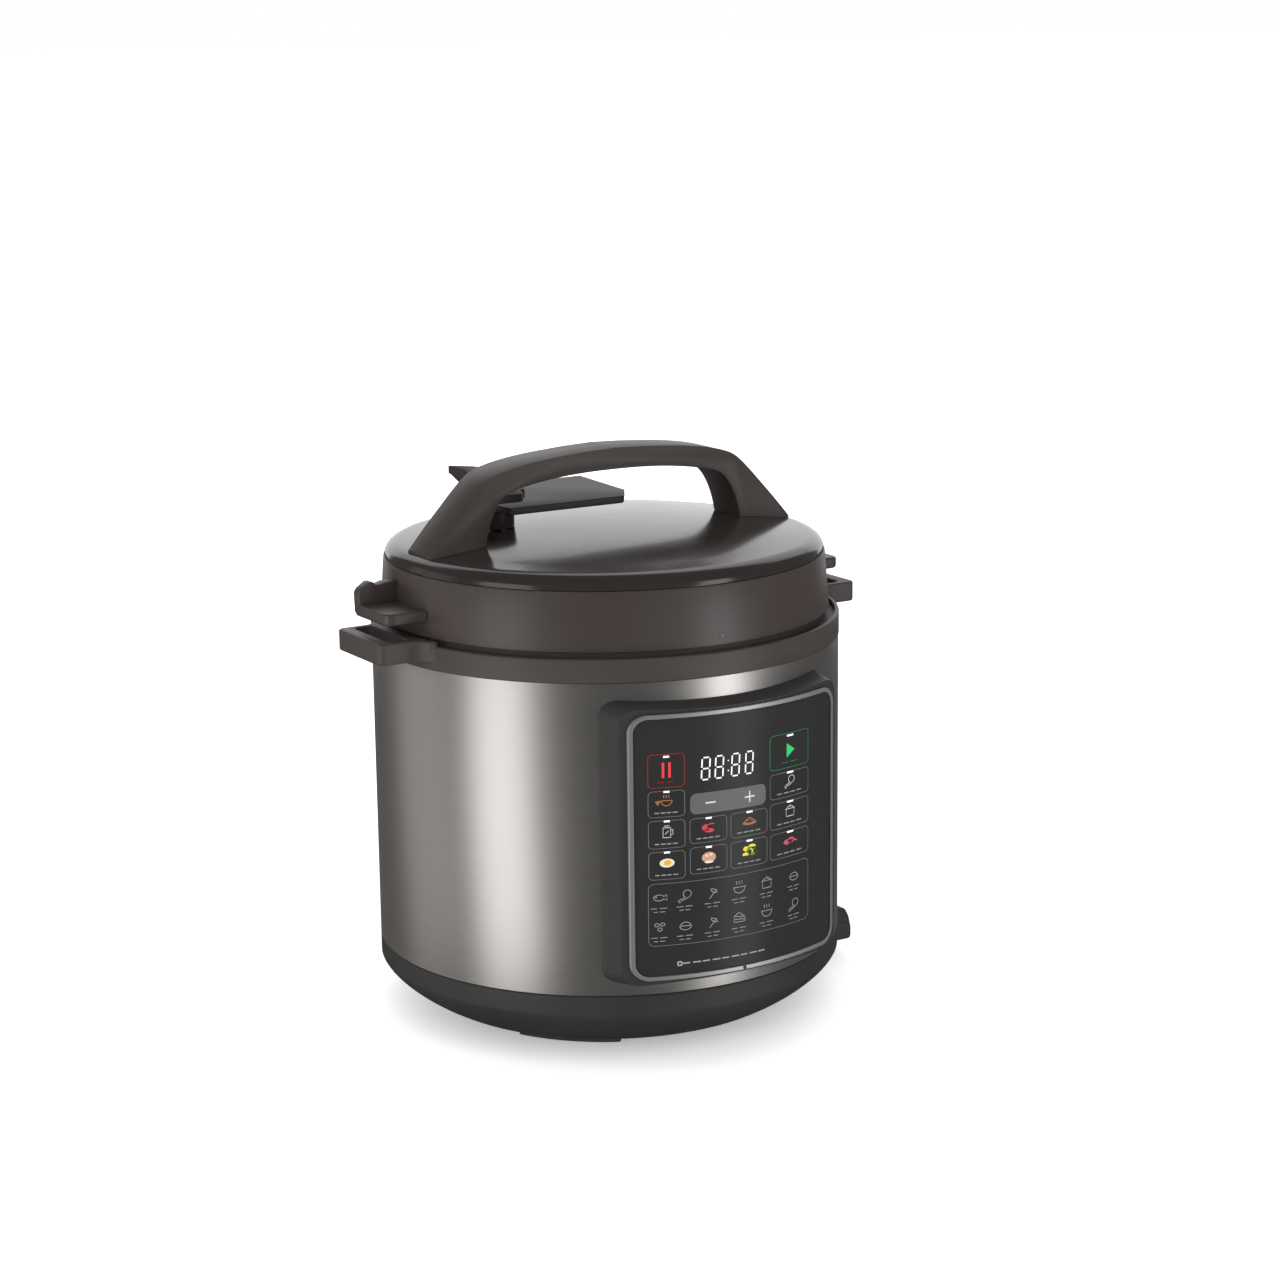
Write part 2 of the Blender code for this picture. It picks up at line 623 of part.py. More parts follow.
# ---------------------------------------------------------------- heating and sensing
def heating_plate():
    """Cast aluminium plate with the element cast in, and a hole for the sensor."""
    slope_w, slope_h = PLATE_EDGE_SLOPE
    loop = [(PLATE_R - slope_w, PLATE_TOP_Z), (PLATE_R, PLATE_TOP_Z - slope_h),
            (PLATE_R, PLATE_BOTTOM_Z), (PLATE_HOLE_R, PLATE_BOTTOM_Z),
            (PLATE_HOLE_R, PLATE_TOP_Z)]
    return turned("heating_plate", loop, ALUMINIUM)


def temperature_sensor():
    """Sprung aluminium cap that presses on the pot through the heating plate."""
    top = PLATE_TOP_Z - GAP / 3
    stem_z = SENSOR_CAP_Z - SENSOR_STEM_L
    profile = [(0, top), (SENSOR_R - SENSOR_EDGE, top), (SENSOR_R, top - SENSOR_EDGE),
               (SENSOR_R, SENSOR_CAP_Z), (SENSOR_STEM_R, SENSOR_CAP_Z),
               (SENSOR_STEM_R, stem_z), (0, stem_z)]
    return turned("temperature_sensor", profile, ALUMINIUM, steps=24, closed=False)


def sensor_spring():
    """Coil between the sensor cap and its bracket, round the cap's stem."""
    top = SENSOR_CAP_Z - GAP - SPRING_WIRE_R
    bottom = BRACKET_TOP_Z + GAP + SPRING_WIRE_R
    curve = bpy.data.curves.new("sensor_spring", "CURVE")
    curve.dimensions = "3D"
    curve.bevel_depth = SPRING_WIRE_R
    curve.bevel_resolution = 0
    curve.use_fill_caps = True
    spline = curve.splines.new("POLY")
    pieces = SPRING_TURNS * SPRING_POINTS
    spline.points.add(pieces)
    for index, point in enumerate(spline.points):
        angle = math.tau * index / SPRING_POINTS
        height = bottom + (top - bottom) * index / pieces
        point.co = (SPRING_R * math.cos(angle), SPRING_R * math.sin(angle), height, 1)
    made = bpy.data.objects.new("sensor_spring", curve)
    curve.materials.append(POT_STEEL)
    PARTS.objects.link(made)
    return made


def sensor_bracket():
    """Bent steel strip under the inner casing that carries the spring."""
    made = box("sensor_bracket", (-BRACKET_HALF_L, -BRACKET_HALF_W, BRACKET_TOP_Z - BRACKET_T),
               (BRACKET_HALF_L, BRACKET_HALF_W, BRACKET_TOP_Z), STEEL)
    for side in (-1, 1):
        low, high = sorted((side * (BRACKET_HALF_L - BRACKET_T), side * BRACKET_HALF_L))
        join(made, box("bracket_leg", (low, -BRACKET_HALF_W, BRACKET_TOP_Z - BRACKET_T / 2),
                       (high, BRACKET_HALF_W, LINER_FLOOR_Z - GAP)))
    return cut(made, cylinder("bracket_hole", SENSOR_STEM_R + SENSOR_CLEARANCE / 2,
                              BRACKET_TOP_Z - 0.01, BRACKET_TOP_Z + 0.01))


def pressure_switch():
    """Lever switch under the bracket that opens when the casing is pushed down."""
    width, depth, height = SWITCH_SIZE
    blade_h = 0.0018
    body_top = SWITCH_TOP_Z - blade_h
    made = box("pressure_switch", (-width / 2, -depth / 2, body_top - height + blade_h),
               (width / 2, depth / 2, body_top), WHITE_PLASTIC, at=(0, SWITCH_Y, 0))
    return join(made, box("switch_blade", (-width / 8, -depth / 2 + 0.0005, body_top - 0.0005),
                          (width / 8, depth / 2 - 0.0005, SWITCH_TOP_Z), at=(0, SWITCH_Y, 0)))


def thermal_fuse():
    made = cylinder("thermal_fuse", FUSE_R, -FUSE_HALF_L, FUSE_HALF_L, WHITE_PLASTIC,
                    at=(0, FUSE_Y, LINER_FLOOR_Z - FUSE_R - 0.0028))
    made.rotation_euler = (0, math.pi / 2, 0)
    return made


def heater_terminals():
    for index, degrees in enumerate(TERMINAL_ANGLES):
        angle = math.radians(degrees)
        at = (TERMINAL_RING_R * math.cos(angle), TERMINAL_RING_R * math.sin(angle), 0)
        cylinder(f"heater_terminal_{index + 1}", TERMINAL_R, LINER_FLOOR_Z - TERMINAL_L,
                 LINER_FLOOR_Z - GAP, STEEL, at=at, steps=12)


def power_board():
    """Supply board with its relay, transformer and film capacitor, each from the board's corner."""
    corner = (POWER_BOARD_X[0], POWER_BOARD_Y, POWER_BOARD_Z)
    length = POWER_BOARD_X[1] - POWER_BOARD_X[0]
    made = box("power_board", (0, 0, 0), (length, POWER_BOARD_L, BOARD_T), BOARD, at=corner)
    for name, (x, y), (width, depth, height) in (
            ("relay", (0.008, 0.008), (0.018, 0.016, 0.0155)),
            ("transformer", (0.034, 0.006), (0.020, 0.018, 0.0165)),
            ("capacitor", (0.058, 0.022), (0.012, 0.020, 0.0115))):
        join(made, box("board_" + name, (x, y, BOARD_T / 2), (x + width, y + depth, height), at=corner))
    return made


# ---------------------------------------------------------------- inner pot
def inner_pot():
    """Drawn steel pot, with a rolled-out rim that rests on the casing's shelf."""
    rim_bottom = SHELF_Z + GAP
    corner = POT_CORNER_R
    inner_corner = corner - POT_WALL
    centre_r = POT_R - corner
    centre_z = POT_BOTTOM_Z + corner
    inner = [(0, POT_BOTTOM_Z + POT_WALL)]
    inner += arc(centre_r, centre_z, inner_corner, -90, 0, 3)
    inner.append((POT_R - POT_WALL, POT_RIM_Z))
    outer = [(POT_RIM_R, POT_RIM_Z), (POT_RIM_R, rim_bottom), (POT_R, rim_bottom)]
    outer += arc(centre_r, centre_z, corner, 0, -90, 3)
    outer.append((0, POT_BOTTOM_Z))
    return turned("inner_pot", inner + outer, POT_STEEL, closed=False)


def arc(centre_r, centre_z, radius, start, end, steps):
    """Points of an arc in the profile plane, angles in degrees."""
    points = []
    for step in range(steps + 1):
        angle = math.radians(start + (end - start) * step / steps)
        points.append((centre_r + radius * math.cos(angle), centre_z + radius * math.sin(angle)))
    return points


# ---------------------------------------------------------------- control panel
def panel_prism(name, grow, flare=0.0):
    """A block with the panel's outline, wider at the back by flare."""
    outline = round_rect(PANEL_HALF_W + grow, PANEL_BOTTOM_Z - grow, PANEL_TOP_Z + grow,
                         PANEL_CORNER_R + grow)
    made = slab(name, outline, PANEL_CUTTER_HALF, at=(0, -BODY_R, 0), upright=True)
    if flare:
        middle_z = (PANEL_BOTTOM_Z + PANEL_TOP_Z) / 2
        half_h = (PANEL_TOP_Z - PANEL_BOTTOM_Z) / 2
        for vertex in made.data.vertices:
            if vertex.co.y > 0:
                vertex.co.x *= 1 + flare / PANEL_HALF_W
                vertex.co.z = middle_z + (vertex.co.z - middle_z) * (1 + flare / half_h)
    return made


def panel_housing():
    """Moulded front housing: flared sides, open towards the sleeve."""
    front_r = PANEL_R - OVERLAY_T - GAP
    made = panel_prism("panel_housing", -HOUSING_FLARE / 4, flare=HOUSING_FLARE)
    made.data.materials.append(SATIN_BLACK)
    keep_inside(made, sleeve_of("housing_limit", BODY_R + GAP, front_r, BOWL_RIM_Z, SLEEVE_TOP_Z))
    hollow = panel_prism("housing_hollow", -HOUSING_SIDE_WALL)
    keep_inside(hollow, cylinder("hollow_limit", HOLLOW_R, BOWL_RIM_Z, SLEEVE_TOP_Z,
                                 steps=PANEL_STEPS))
    return cut(made, hollow)


def panel_overlay():
    """Printed gloss front that carries the touch keys and the display window."""
    made = panel_prism("panel_overlay", -BEZEL_W - GAP)
    made.data.materials.append(OVERLAY)
    return keep_inside(made, sleeve_of("overlay_limit", PANEL_R - OVERLAY_T, PANEL_R,
                                       BOWL_RIM_Z, SLEEVE_TOP_Z))


def panel_bezel():
    """Silver trim frame round the overlay."""
    made = panel_prism("panel_bezel", 0.0)
    made.data.materials.append(TRIM)
    keep_inside(made, sleeve_of("bezel_limit", PANEL_R - OVERLAY_T, PANEL_R + BEZEL_PROUD,
                                BOWL_RIM_Z, SLEEVE_TOP_Z))
    return cut(made, panel_prism("bezel_cutter", -BEZEL_W))


def control_board():
    """Flat board behind the overlay, with the controller chip."""
    made = box("control_board", (-BOARD_HALF_W, BOARD_FRONT_Y, BOARD_BOTTOM_Z),
               (BOARD_HALF_W, BOARD_FRONT_Y + BOARD_T, BOARD_TOP_Z), BOARD)
    chip_z = (BOARD_BOTTOM_Z + BOARD_TOP_Z) / 2 - CHIP_H
    return join(made, box("controller_chip", (-CHIP_HALF_W, BOARD_FRONT_Y - CHIP_T, chip_z),
                          (CHIP_HALF_W, BOARD_FRONT_Y + BOARD_T / 2, chip_z + CHIP_H)))


def display_module():
    """Four-digit display block, between the board and the overlay."""
    top = BOARD_TOP_Z - DISPLAY_DROP
    return box("display_module", (-DISPLAY_HALF_W, DISPLAY_FRONT_Y, top - DISPLAY_H),
               (DISPLAY_HALF_W, BOARD_FRONT_Y - GAP, top), WHITE_PLASTIC)


# ---------------------------------------------------------------- power inlet
def inlet_housing():
    """Moulded block at the lower right with a sloping upper edge."""
    bottom, top = INLET_Z
    slope_w, slope_h = INLET_SLOPE
    inner = BODY_R - 0.015
    outline = [(inner, bottom), (INLET_REACH, bottom), (INLET_REACH, bottom + INLET_STEP_H),
               (INLET_REACH - slope_w / 3, top - slope_h), (INLET_REACH - slope_w, top), (inner, top)]
    made = slab("inlet_housing", outline, INLET_HALF_W, SATIN_BLACK, upright=True)
    loop = [(0, BOWL_RIM_Z + 0.01), (BODY_R + GAP, BOWL_RIM_Z + 0.01)] + bowl_side(GAP) + [(0, FOOT_H)]
    body = turned("inlet_body_cutter", loop, closed=False)
    half_w = SOCKET_W / 2 + SOCKET_WALL + GAP
    half_h = SOCKET_H / 2 + SOCKET_WALL + GAP
    well = box("inlet_well", (inner - 0.01, -half_w, SOCKET_Z - half_h),
               (INLET_REACH + 0.01, half_w, SOCKET_Z + half_h))
    return cut(made, body, well)


def inlet_socket():
    """Appliance inlet pressed into the block, open outwards."""
    back = SOCKET_FACE_X - SOCKET_DEPTH - SOCKET_WALL
    half_w, half_h = SOCKET_W / 2, SOCKET_H / 2
    made = box("inlet_socket", (back, -half_w - SOCKET_WALL, SOCKET_Z - half_h - SOCKET_WALL),
               (SOCKET_FACE_X, half_w + SOCKET_WALL, SOCKET_Z + half_h + SOCKET_WALL), SATIN_BLACK)
    cut(made, box("socket_mouth", (back + SOCKET_WALL, -half_w, SOCKET_Z - half_h),
                  (SOCKET_FACE_X + 0.01, half_w, SOCKET_Z + half_h)))
    slot_y, slot_z = PIN_HALF[0] + GAP, PIN_HALF[1] + GAP
    for name, (y, z) in inlet_pin_places().items():
        cut(made, box("slot_" + name, (back - 0.01, y - slot_y, z - slot_z),
                      (back + 0.01, y + slot_y, z + slot_z)))
    return made


def inlet_pin_places():
    return {"inlet_pin_line": (-PIN_SPREAD, SOCKET_Z - PIN_OFFSET_Z),
            "inlet_pin_earth": (0.0, SOCKET_Z + PIN_OFFSET_Z),
            "inlet_pin_neutral": (PIN_SPREAD, SOCKET_Z - PIN_OFFSET_Z)}


def inlet_pins():
    back = SOCKET_FACE_X - SOCKET_DEPTH - SOCKET_WALL - PIN_TAIL
    for name, (y, z) in inlet_pin_places().items():
        box(name, (back, -PIN_HALF[0], -PIN_HALF[1]),
            (SOCKET_FACE_X - PIN_RECESS, PIN_HALF[0], PIN_HALF[1]), BRASS, at=(0, y, z))


# ---------------------------------------------------------------- condensation cup
def cup_bracket():
    """Moulded rail on the back of the sleeve."""
    made = box("cup_bracket", (-CUP_BRACKET_HALF_W, BODY_R - 0.015, CUP_TOP_Z - CUP_BRACKET_DROP[0]),
               (CUP_BRACKET_HALF_W, CUP_FRONT_Y - GAP, CUP_TOP_Z - CUP_BRACKET_DROP[1]), SATIN_BLACK)
    return cut(made, cylinder("bracket_body_cutter", BODY_R + GAP, 0, SLEEVE_TOP_Z, steps=ROUND_STEPS))


def condensation_cup():
    """Small open cup that catches the water from the collar's drain."""
    bottom = CUP_TOP_Z - CUP_H
    made = box("condensation_cup", (-CUP_W / 2, 0, 0), (CUP_W / 2, CUP_DEPTH, CUP_H), SMOKED,
               at=(0, CUP_FRONT_Y, bottom))
    rounded(made, 0.002, 2, 60)
    return cut(made, box("cup_cutter",
                         (-CUP_W / 2 + CUP_WALL, CUP_FRONT_Y + CUP_WALL, bottom + CUP_WALL),
                         (CUP_W / 2 - CUP_WALL, BACK_Y - CUP_WALL, CUP_TOP_Z + 0.01)))


# ---------------------------------------------------------------- lid
def inner_lid_z(radius):
    """Height of the inner lid's top face."""
    return INNER_LID_RIM_Z + INNER_LID_RISE * (1 - (radius / INNER_LID_R) ** 2)


def inner_lid():
    """Domed steel plate with locking lugs round its edge."""
    hole_r = CENTRE_SCREW_R + GAP
    shares = (0.0, 0.4, 0.75, 1.0)
    radii = [hole_r + (INNER_LID_R - LINER_WALL - hole_r) * share for share in shares]
    top = [(r, inner_lid_z(r)) for r in radii]
    loop = top + [(INNER_LID_R, INNER_LID_RIM_Z - 0.0015), (INNER_LID_R, INNER_LID_BOTTOM_Z),
                  (INNER_LID_R - LINER_WALL, INNER_LID_BOTTOM_Z)]
    loop += [(r, inner_lid_z(r) - LINER_WALL) for r in reversed(radii)]
    made = turned("inner_lid", loop, STEEL)
    lugs = ring_of_boxes("lid_lugs", LUG_COUNT,
                         (INNER_LID_R - LINER_WALL / 2, -LUG_W / 2, INNER_LID_BOTTOM_Z),
                         (LID_LUG_R, LUG_W / 2, INNER_LID_BOTTOM_Z + LUG_T))
    join(made, lugs)
    return cut(made, cylinder("pipe_hole", PIPE_R + GAP * 2, SHELF_Z, DOME_TOP_Z, at=(*LEVER_AT, 0)),
               cylinder("float_hole", FLOAT_R + FLOAT_CLEARANCE, SHELF_Z, DOME_TOP_Z,
                        at=(*FLOAT_AT, 0)))


def sealing_ring():
    """Silicone gasket between the inner lid and the pot's rim."""
    top = INNER_LID_RIM_Z - LINER_WALL - 0.0023
    bottom = POT_RIM_Z + GAP
    inner = SEAL_R - SEAL_W
    loop = [(SEAL_R, top), (SEAL_R, bottom + 0.003), (SEAL_R - 0.0015, bottom),
            (inner + 0.0023, bottom), (inner, bottom + 0.0025), (inner, top)]
    return turned("sealing_ring", loop, SILICONE)


def sealing_ring_rack():
    """Steel wire ring that holds the gasket out against the inner lid."""
    centre_z = INNER_LID_BOTTOM_Z + 0.002
    centre_r = SEAL_R - SEAL_W - RACK_WIRE_R - RACK_CLEARANCE
    loop = arc(centre_r, centre_z, RACK_WIRE_R, 90, -198, 4)
    return turned("sealing_ring_rack", loop, POT_STEEL)


def dome_z(radius):
    """Height of the lid's top face inside its shoulder."""
    drop = DOME_TOP_Z - DOME_SHOULDER_Z
    return DOME_TOP_Z - drop * (radius / DOME_SHOULDER_R) ** 2


def dome_profile(grow=0.0):
    """The lid's outer face from its centre to its lower edge."""
    shares = (0.0, 0.4, 0.75, 1.0)
    points = [(DOME_SHOULDER_R * share, dome_z(DOME_SHOULDER_R * share) + grow) for share in shares]
    edge_z = SKIRT_TOP_Z + GAP
    rise = DOME_SHOULDER_Z - edge_z
    run = DOME_R - DOME_SHOULDER_R
    for step in range(1, 4):
        angle = math.radians(90 * step / 3)
        points.append((DOME_SHOULDER_R + (run + grow) * math.sin(angle),
                       edge_z + (rise + grow) * math.cos(angle) ** 0.8))
    return points


def lid_dome():
    """Glossy top cover with bosses for the handle screws and the centre screw."""
    outer = dome_profile()
    inner = [(r, z - DOME_WALL) for r, z in outer[:-2]]
    inner_edge = DOME_R - DOME_WALL
    inner = [p for p in inner if p[0] < inner_edge - 0.001]
    loop = outer + [(inner_edge, outer[-1][1])] + [(inner_edge, outer[-1][1] + 0.0015)] + inner[::-1]
    made = turned("lid_dome", loop, GLOSS_BLACK, closed=False)
    low, high = SKIRT_TOP_Z - 0.02, DOME_TOP_Z + 0.02
    join(made, cylinder("centre_boss", DOME_BOSS_R, inner_lid_z(0) + GAP * 2, dome_z(0) - DOME_WALL / 2))
    cut(made, cylinder("centre_bore", CENTRE_SCREW_R + GAP, SHELF_Z, dome_z(0) - 0.008),
        cylinder("lever_bore", PIPE_R + 0.0010, low, high, at=(*LEVER_AT, 0)),
        cylinder("float_bore", FLOAT_R + FLOAT_CLEARANCE, low, high, at=(*FLOAT_AT, 0)))
    for name, at in handle_screw_places().items():
        cut(made, cylinder("dome_" + name, SCREW_R + GAP, low, high, at=(*at, 0), steps=12))
    return made


def lid_skirt():
    """Satin band under the top cover, with the two parking fins."""
    flange_r = SKIRT_TOP_R - SKIRT_FLANGE_IN
    under_z = SKIRT_TOP_Z - 0.002
    loop = [(SKIRT_TOP_R, SKIRT_TOP_Z), (SKIRT_BOTTOM_R, SKIRT_BOTTOM_Z + 0.0015),
            (SKIRT_BOTTOM_R - 0.0005, SKIRT_BOTTOM_Z), (SKIRT_BOTTOM_R - SKIRT_WALL, SKIRT_BOTTOM_Z),
            (SKIRT_TOP_R - SKIRT_WALL, under_z), (flange_r, under_z), (flange_r, SKIRT_TOP_Z)]
    made = turned("lid_skirt", loop, SATIN_BLACK)
    inner = SKIRT_BOTTOM_R - SKIRT_WALL + GAP
    for side, word in ((1, "right"), (-1, "left")):
        low, high = sorted((side * inner, side * FIN_REACH))
        fin = box(f"fin_{word}", (low, -FIN_HALF_W, FIN_BOTTOM_Z),
                  (high, FIN_HALF_W, FIN_BOTTOM_Z + FIN_T))
        join(made, fin, fin_rib(side, inner, word))
    return made


def fin_rib(side, inner, word):
    """Upright web at the back edge of a fin, with a raised outer end."""
    foot_z = FIN_BOTTOM_Z + 0.001
    top = FIN_BOTTOM_Z + FIN_RIB_H
    outer = FIN_REACH - 0.0005
    steps = [(inner, foot_z), (outer, foot_z), (outer, top - 0.005), (outer - 0.007, top),
             (outer - 0.0105, top), (outer - 0.0113, top - 0.0028), (outer - 0.0145, top - 0.0028),
             (inner, top - 0.0008)]
    outline = [(side * x, z) for x, z in (reversed(steps) if side > 0 else steps)]
    return slab(f"fin_rib_{word}", outline, FIN_RIB_W / 2,
                at=(0, FIN_HALF_W - FIN_RIB_W / 2 - GAP, 0), upright=True)


# ---------------------------------------------------------------- carrying handle
def handle_outer():
    """Half of the arch's outer outline, from the foot of a leg to the middle."""
    out, top = HANDLE_LEG_OUT, HANDLE_TOP_Z
    return [(out, DOME_TOP_Z - 0.0178), (out, DOME_TOP_Z - 0.0048), (out - 0.0100, DOME_TOP_Z + 0.0066),
            (out - 0.0285, top - 0.0196), (out - 0.0365, top - 0.0121), (out - 0.0430, top - 0.0085),
            (out - 0.0560, top - 0.0052), (out - 0.0750, top - 0.0027), (out - 0.1000, top - 0.0009)]


def handle_inner():
    """Half of the arch's inner outline, from the middle to the foot of a leg."""
    leg, under = HANDLE_LEG_IN, HANDLE_UNDER_Z
    return [(leg - 0.054, under), (leg - 0.034, under - 0.0014), (leg - 0.016, under - 0.0065),
            (leg - 0.009, under - 0.0145), (leg - 0.0035, under - 0.027), (leg, DOME_TOP_Z - 0.0178)]


def mirrored_outline(half_outer, half_inner):
    """Both halves of the arch in one loop."""
    outline = [(-x, z) for x, z in half_outer] + [(0.0, HANDLE_TOP_Z)]
    outline += [(x, z) for x, z in reversed(half_outer)]
    outline += [(x, z) for x, z in reversed(half_inner)]
    return outline + [(-x, z) for x, z in half_inner]


def lid_handle():
    """Arched handle, cut at its feet to sit on the dome."""
    made = slab("lid_handle", mirrored_outline(handle_outer(), handle_inner()), HANDLE_HALF_W,
                SATIN_BLACK, upright=True)
    rounded(made, HANDLE_ROUND, 2, 60)
    recess_l = HANDLE_STRIP_HALF_L + GAP
    below = [(x, z - 0.012) for x, z in reversed(strip_line(0, recess_l))]
    recess = slab("strip_recess", strip_line(HANDLE_STRIP_T + GAP * 2, recess_l) + below,
                  HANDLE_HALF_W + 0.01, upright=True)
    seat_z = SKIRT_TOP_Z - 0.015
    seat = turned("handle_seat", dome_profile(GAP) + [(DOME_R + GAP, seat_z), (0, seat_z)],
                  closed=False)
    cut(made, recess, seat)
    for name, at in handle_screw_places().items():
        cut(made, cylinder("leg_" + name, SCREW_R + GAP, seat_z, handle_bore_top(at),
                           at=(*at, 0), steps=12))
    return made


def strip_line(rise, half_l=HANDLE_STRIP_HALF_L):
    """Points along the underside of the grip, raised by rise."""
    points = []
    for step in range(13):
        x = -half_l + 2 * half_l * step / 12
        share = abs(x) / HANDLE_STRIP_HALF_L
        points.append((x, HANDLE_UNDER_Z + rise - HANDLE_STRIP_DROP * share ** HANDLE_STRIP_BEND))
    return points


def handle_strip():
    """Lower shell of the grip, set into the arch from below."""
    outline = strip_line(HANDLE_STRIP_T) + list(reversed(strip_line(0)))
    return slab("handle_strip", outline, HANDLE_HALF_W - 0.0008, SATIN_BLACK, upright=True)


def handle_screw_places():
    middle = (HANDLE_LEG_OUT + HANDLE_LEG_IN) / 2
    places = {}
    for index, (side, y) in enumerate(((-1, -0.006), (-1, 0.006), (1, -0.006), (1, 0.006))):
        places[f"handle_screw_{index + 1}"] = (side * middle, y)
    return places


def under_dome_z(at):
    """Height of the dome's inner face over a point."""
    return dome_z(math.hypot(*at)) - DOME_WALL


def handle_bore_top(at):
    return under_dome_z(at) + 0.0100


# ---------------------------------------------------------------- valves
def under_inner_lid_z(at):
    """Height of the inner lid's lower face over a point."""
    return inner_lid_z(math.hypot(*at)) - LINER_WALL


def exhaust_pipe():
    """Steam pipe through both lids, with its nut under the inner lid."""
    nut_top = under_inner_lid_z(LEVER_AT) - 0.0016
    nut_bottom = nut_top - 0.0034
    loop = [(PIPE_R, PIPE_TOP_Z), (PIPE_R, nut_top), (PIPE_NUT_R, nut_top),
            (PIPE_NUT_R, nut_bottom), (PIPE_BORE_R, nut_bottom), (PIPE_BORE_R, PIPE_TOP_Z)]
    return turned("exhaust_pipe", loop, STEEL, at=(*LEVER_AT, 0), steps=SMALL_STEPS)


def anti_block_shield():
    """Slotted cap that keeps food out of the steam pipe."""
    top = under_inner_lid_z(LEVER_AT) - 0.0035
    bottom = top - SHIELD_H
    floor = bottom + SHIELD_WALL
    inner = SHIELD_R - SHIELD_WALL
    profile = [(0, floor), (inner, floor), (inner, top), (SHIELD_R, top), (SHIELD_R, bottom), (0, bottom)]
    made = turned("anti_block_shield", profile, POT_STEEL, at=(*LEVER_AT, 0), steps=24, closed=False)
    slots = ring_of_boxes("shield_slots", 6, (inner - 0.003, -0.002, floor + 0.0015),
                          (SHIELD_R + 0.003, 0.002, top - 0.0025))
    slots.location = (*LEVER_AT, 0)
    return cut(made, slots)


def steam_release_lever():
    """Steam-release valve: hub over the pipe, a broad paddle and its raised hood."""
    x, y = LEVER_AT
    seat = dome_z(math.hypot(x, y)) + 0.0012
    left, right = PADDLE_X
    front, back = PADDLE_Y
    chamfer_x, chamfer_y = PADDLE_CHAMFER
    outline = [(left, front), (right - chamfer_x, front), (right, front + chamfer_y),
               (right - 0.003, back), (left - 0.004, back), (left - 0.004, front + 0.012)]
    made = slab("steam_release_lever", outline, LEVER_T / 2, SATIN_BLACK,
                at=(x, y, LEVER_TOP_Z - LEVER_T / 2))
    rounded(made, 0.001, 1, 60)
    for vertex in made.data.vertices:
        vertex.co.z += PADDLE_RISE * (vertex.co.y - front) / (back - front)
    hub = cylinder("lever_hub", LEVER_HUB_R, seat, LEVER_TOP_Z - LEVER_T / 2, at=(x, y, 0), steps=24)
    join(made, hub, lever_hood(x, y, left, front, back))
    return cut(made, cylinder("lever_socket", LEVER_HUB_R - LEVER_HUB_WALL, seat - 0.01,
                              LEVER_TOP_Z - LEVER_T + 0.001, at=(x, y, 0), steps=24))


def lever_hood(x, y, left, front, back):
    """Raised body on the paddle's left part, rising to a lip at its back corner."""
    outline = [(left - 0.003, front + 0.010), (left + 0.019, front + 0.010), (left + 0.030, front + 0.022),
               (left + 0.026, back + 0.004), (left + 0.0016, back + 0.0116),
               (left - 0.0045, back - 0.004)]
    made = slab("lever_hood", outline, HOOD_H / 2, at=(x, y, LEVER_TOP_Z + HOOD_H / 2 - 0.0010))
    low, high = front + 0.010, back + 0.0116
    for vertex in made.data.vertices:
        share = (vertex.co.y - low) / (high - low)
        if vertex.co.z > 0:
            vertex.co.z += (HOOD_RISE + PADDLE_RISE) * share ** 2
        else:
            vertex.co.z += PADDLE_RISE * share
    return made


def valve_weight():
    """Steel weight that closes the top of the steam pipe."""
    top = LEVER_TOP_Z - LEVER_T + 0.001 - GAP
    bottom = PIPE_TOP_Z - WEIGHT_LAP
    bore_r = PIPE_R + 0.001
    profile = [(0, top), (WEIGHT_R, top), (WEIGHT_R, bottom), (bore_r, bottom),
               (bore_r, PIPE_TOP_Z + GAP), (0, PIPE_TOP_Z + GAP)]
    return turned("valve_weight", profile, POT_STEEL, at=(*LEVER_AT, 0), steps=SMALL_STEPS, closed=False)


def float_valve():
    """Pressure indicator pin that rises through the lid and blocks it from turning."""
    bottom = under_inner_lid_z(FLOAT_AT) - FLOAT_TRAVEL - FLOAT_SEAL_DROP - 0.0045
    top = dome_z(math.hypot(*FLOAT_AT)) - 0.0006
    collar = top - FLOAT_TRAVEL - DOME_WALL - 0.0058
    profile = [(0, top), (FLOAT_R, top), (FLOAT_R, collar), (FLOAT_COLLAR_R, collar),
               (FLOAT_COLLAR_R, collar - 0.002), (FLOAT_R, collar - 0.002), (FLOAT_R, bottom), (0, bottom)]
    return turned("float_valve", profile, POT_STEEL, at=(*FLOAT_AT, 0), steps=SMALL_STEPS, closed=False)


def float_seal():
    """Silicone washer on the float that seals against the inner lid."""
    top = under_inner_lid_z(FLOAT_AT) - FLOAT_TRAVEL - FLOAT_SEAL_DROP
    inner = FLOAT_R + GAP
    loop = [(FLOAT_SEAL_R, top), (FLOAT_SEAL_R, top - 0.003), (inner, top - 0.003), (inner, top)]
    return turned("float_seal", loop, SILICONE, at=(*FLOAT_AT, 0), steps=SMALL_STEPS)


# ---------------------------------------------------------------- assembly
base_housing()
base_plate()
feet()
for screw_name, place_xy in base_screw_places().items():
    screw(screw_name, place_xy, FOOT_H - SCREW_HEAD_H + GAP / 2, FOOT_H + BASE_SCREW_L - 0.0018)

outer_shell()
upper_ring()
locking_liner()

heating_plate()
temperature_sensor()
sensor_bracket()
sensor_spring()
pressure_switch()
thermal_fuse()
heater_terminals()
power_board()

inner_pot()

panel_housing()
panel_overlay()
panel_bezel()
control_board()
display_module()

inlet_housing()
inlet_socket()
inlet_pins()

cup_bracket()
condensation_cup()

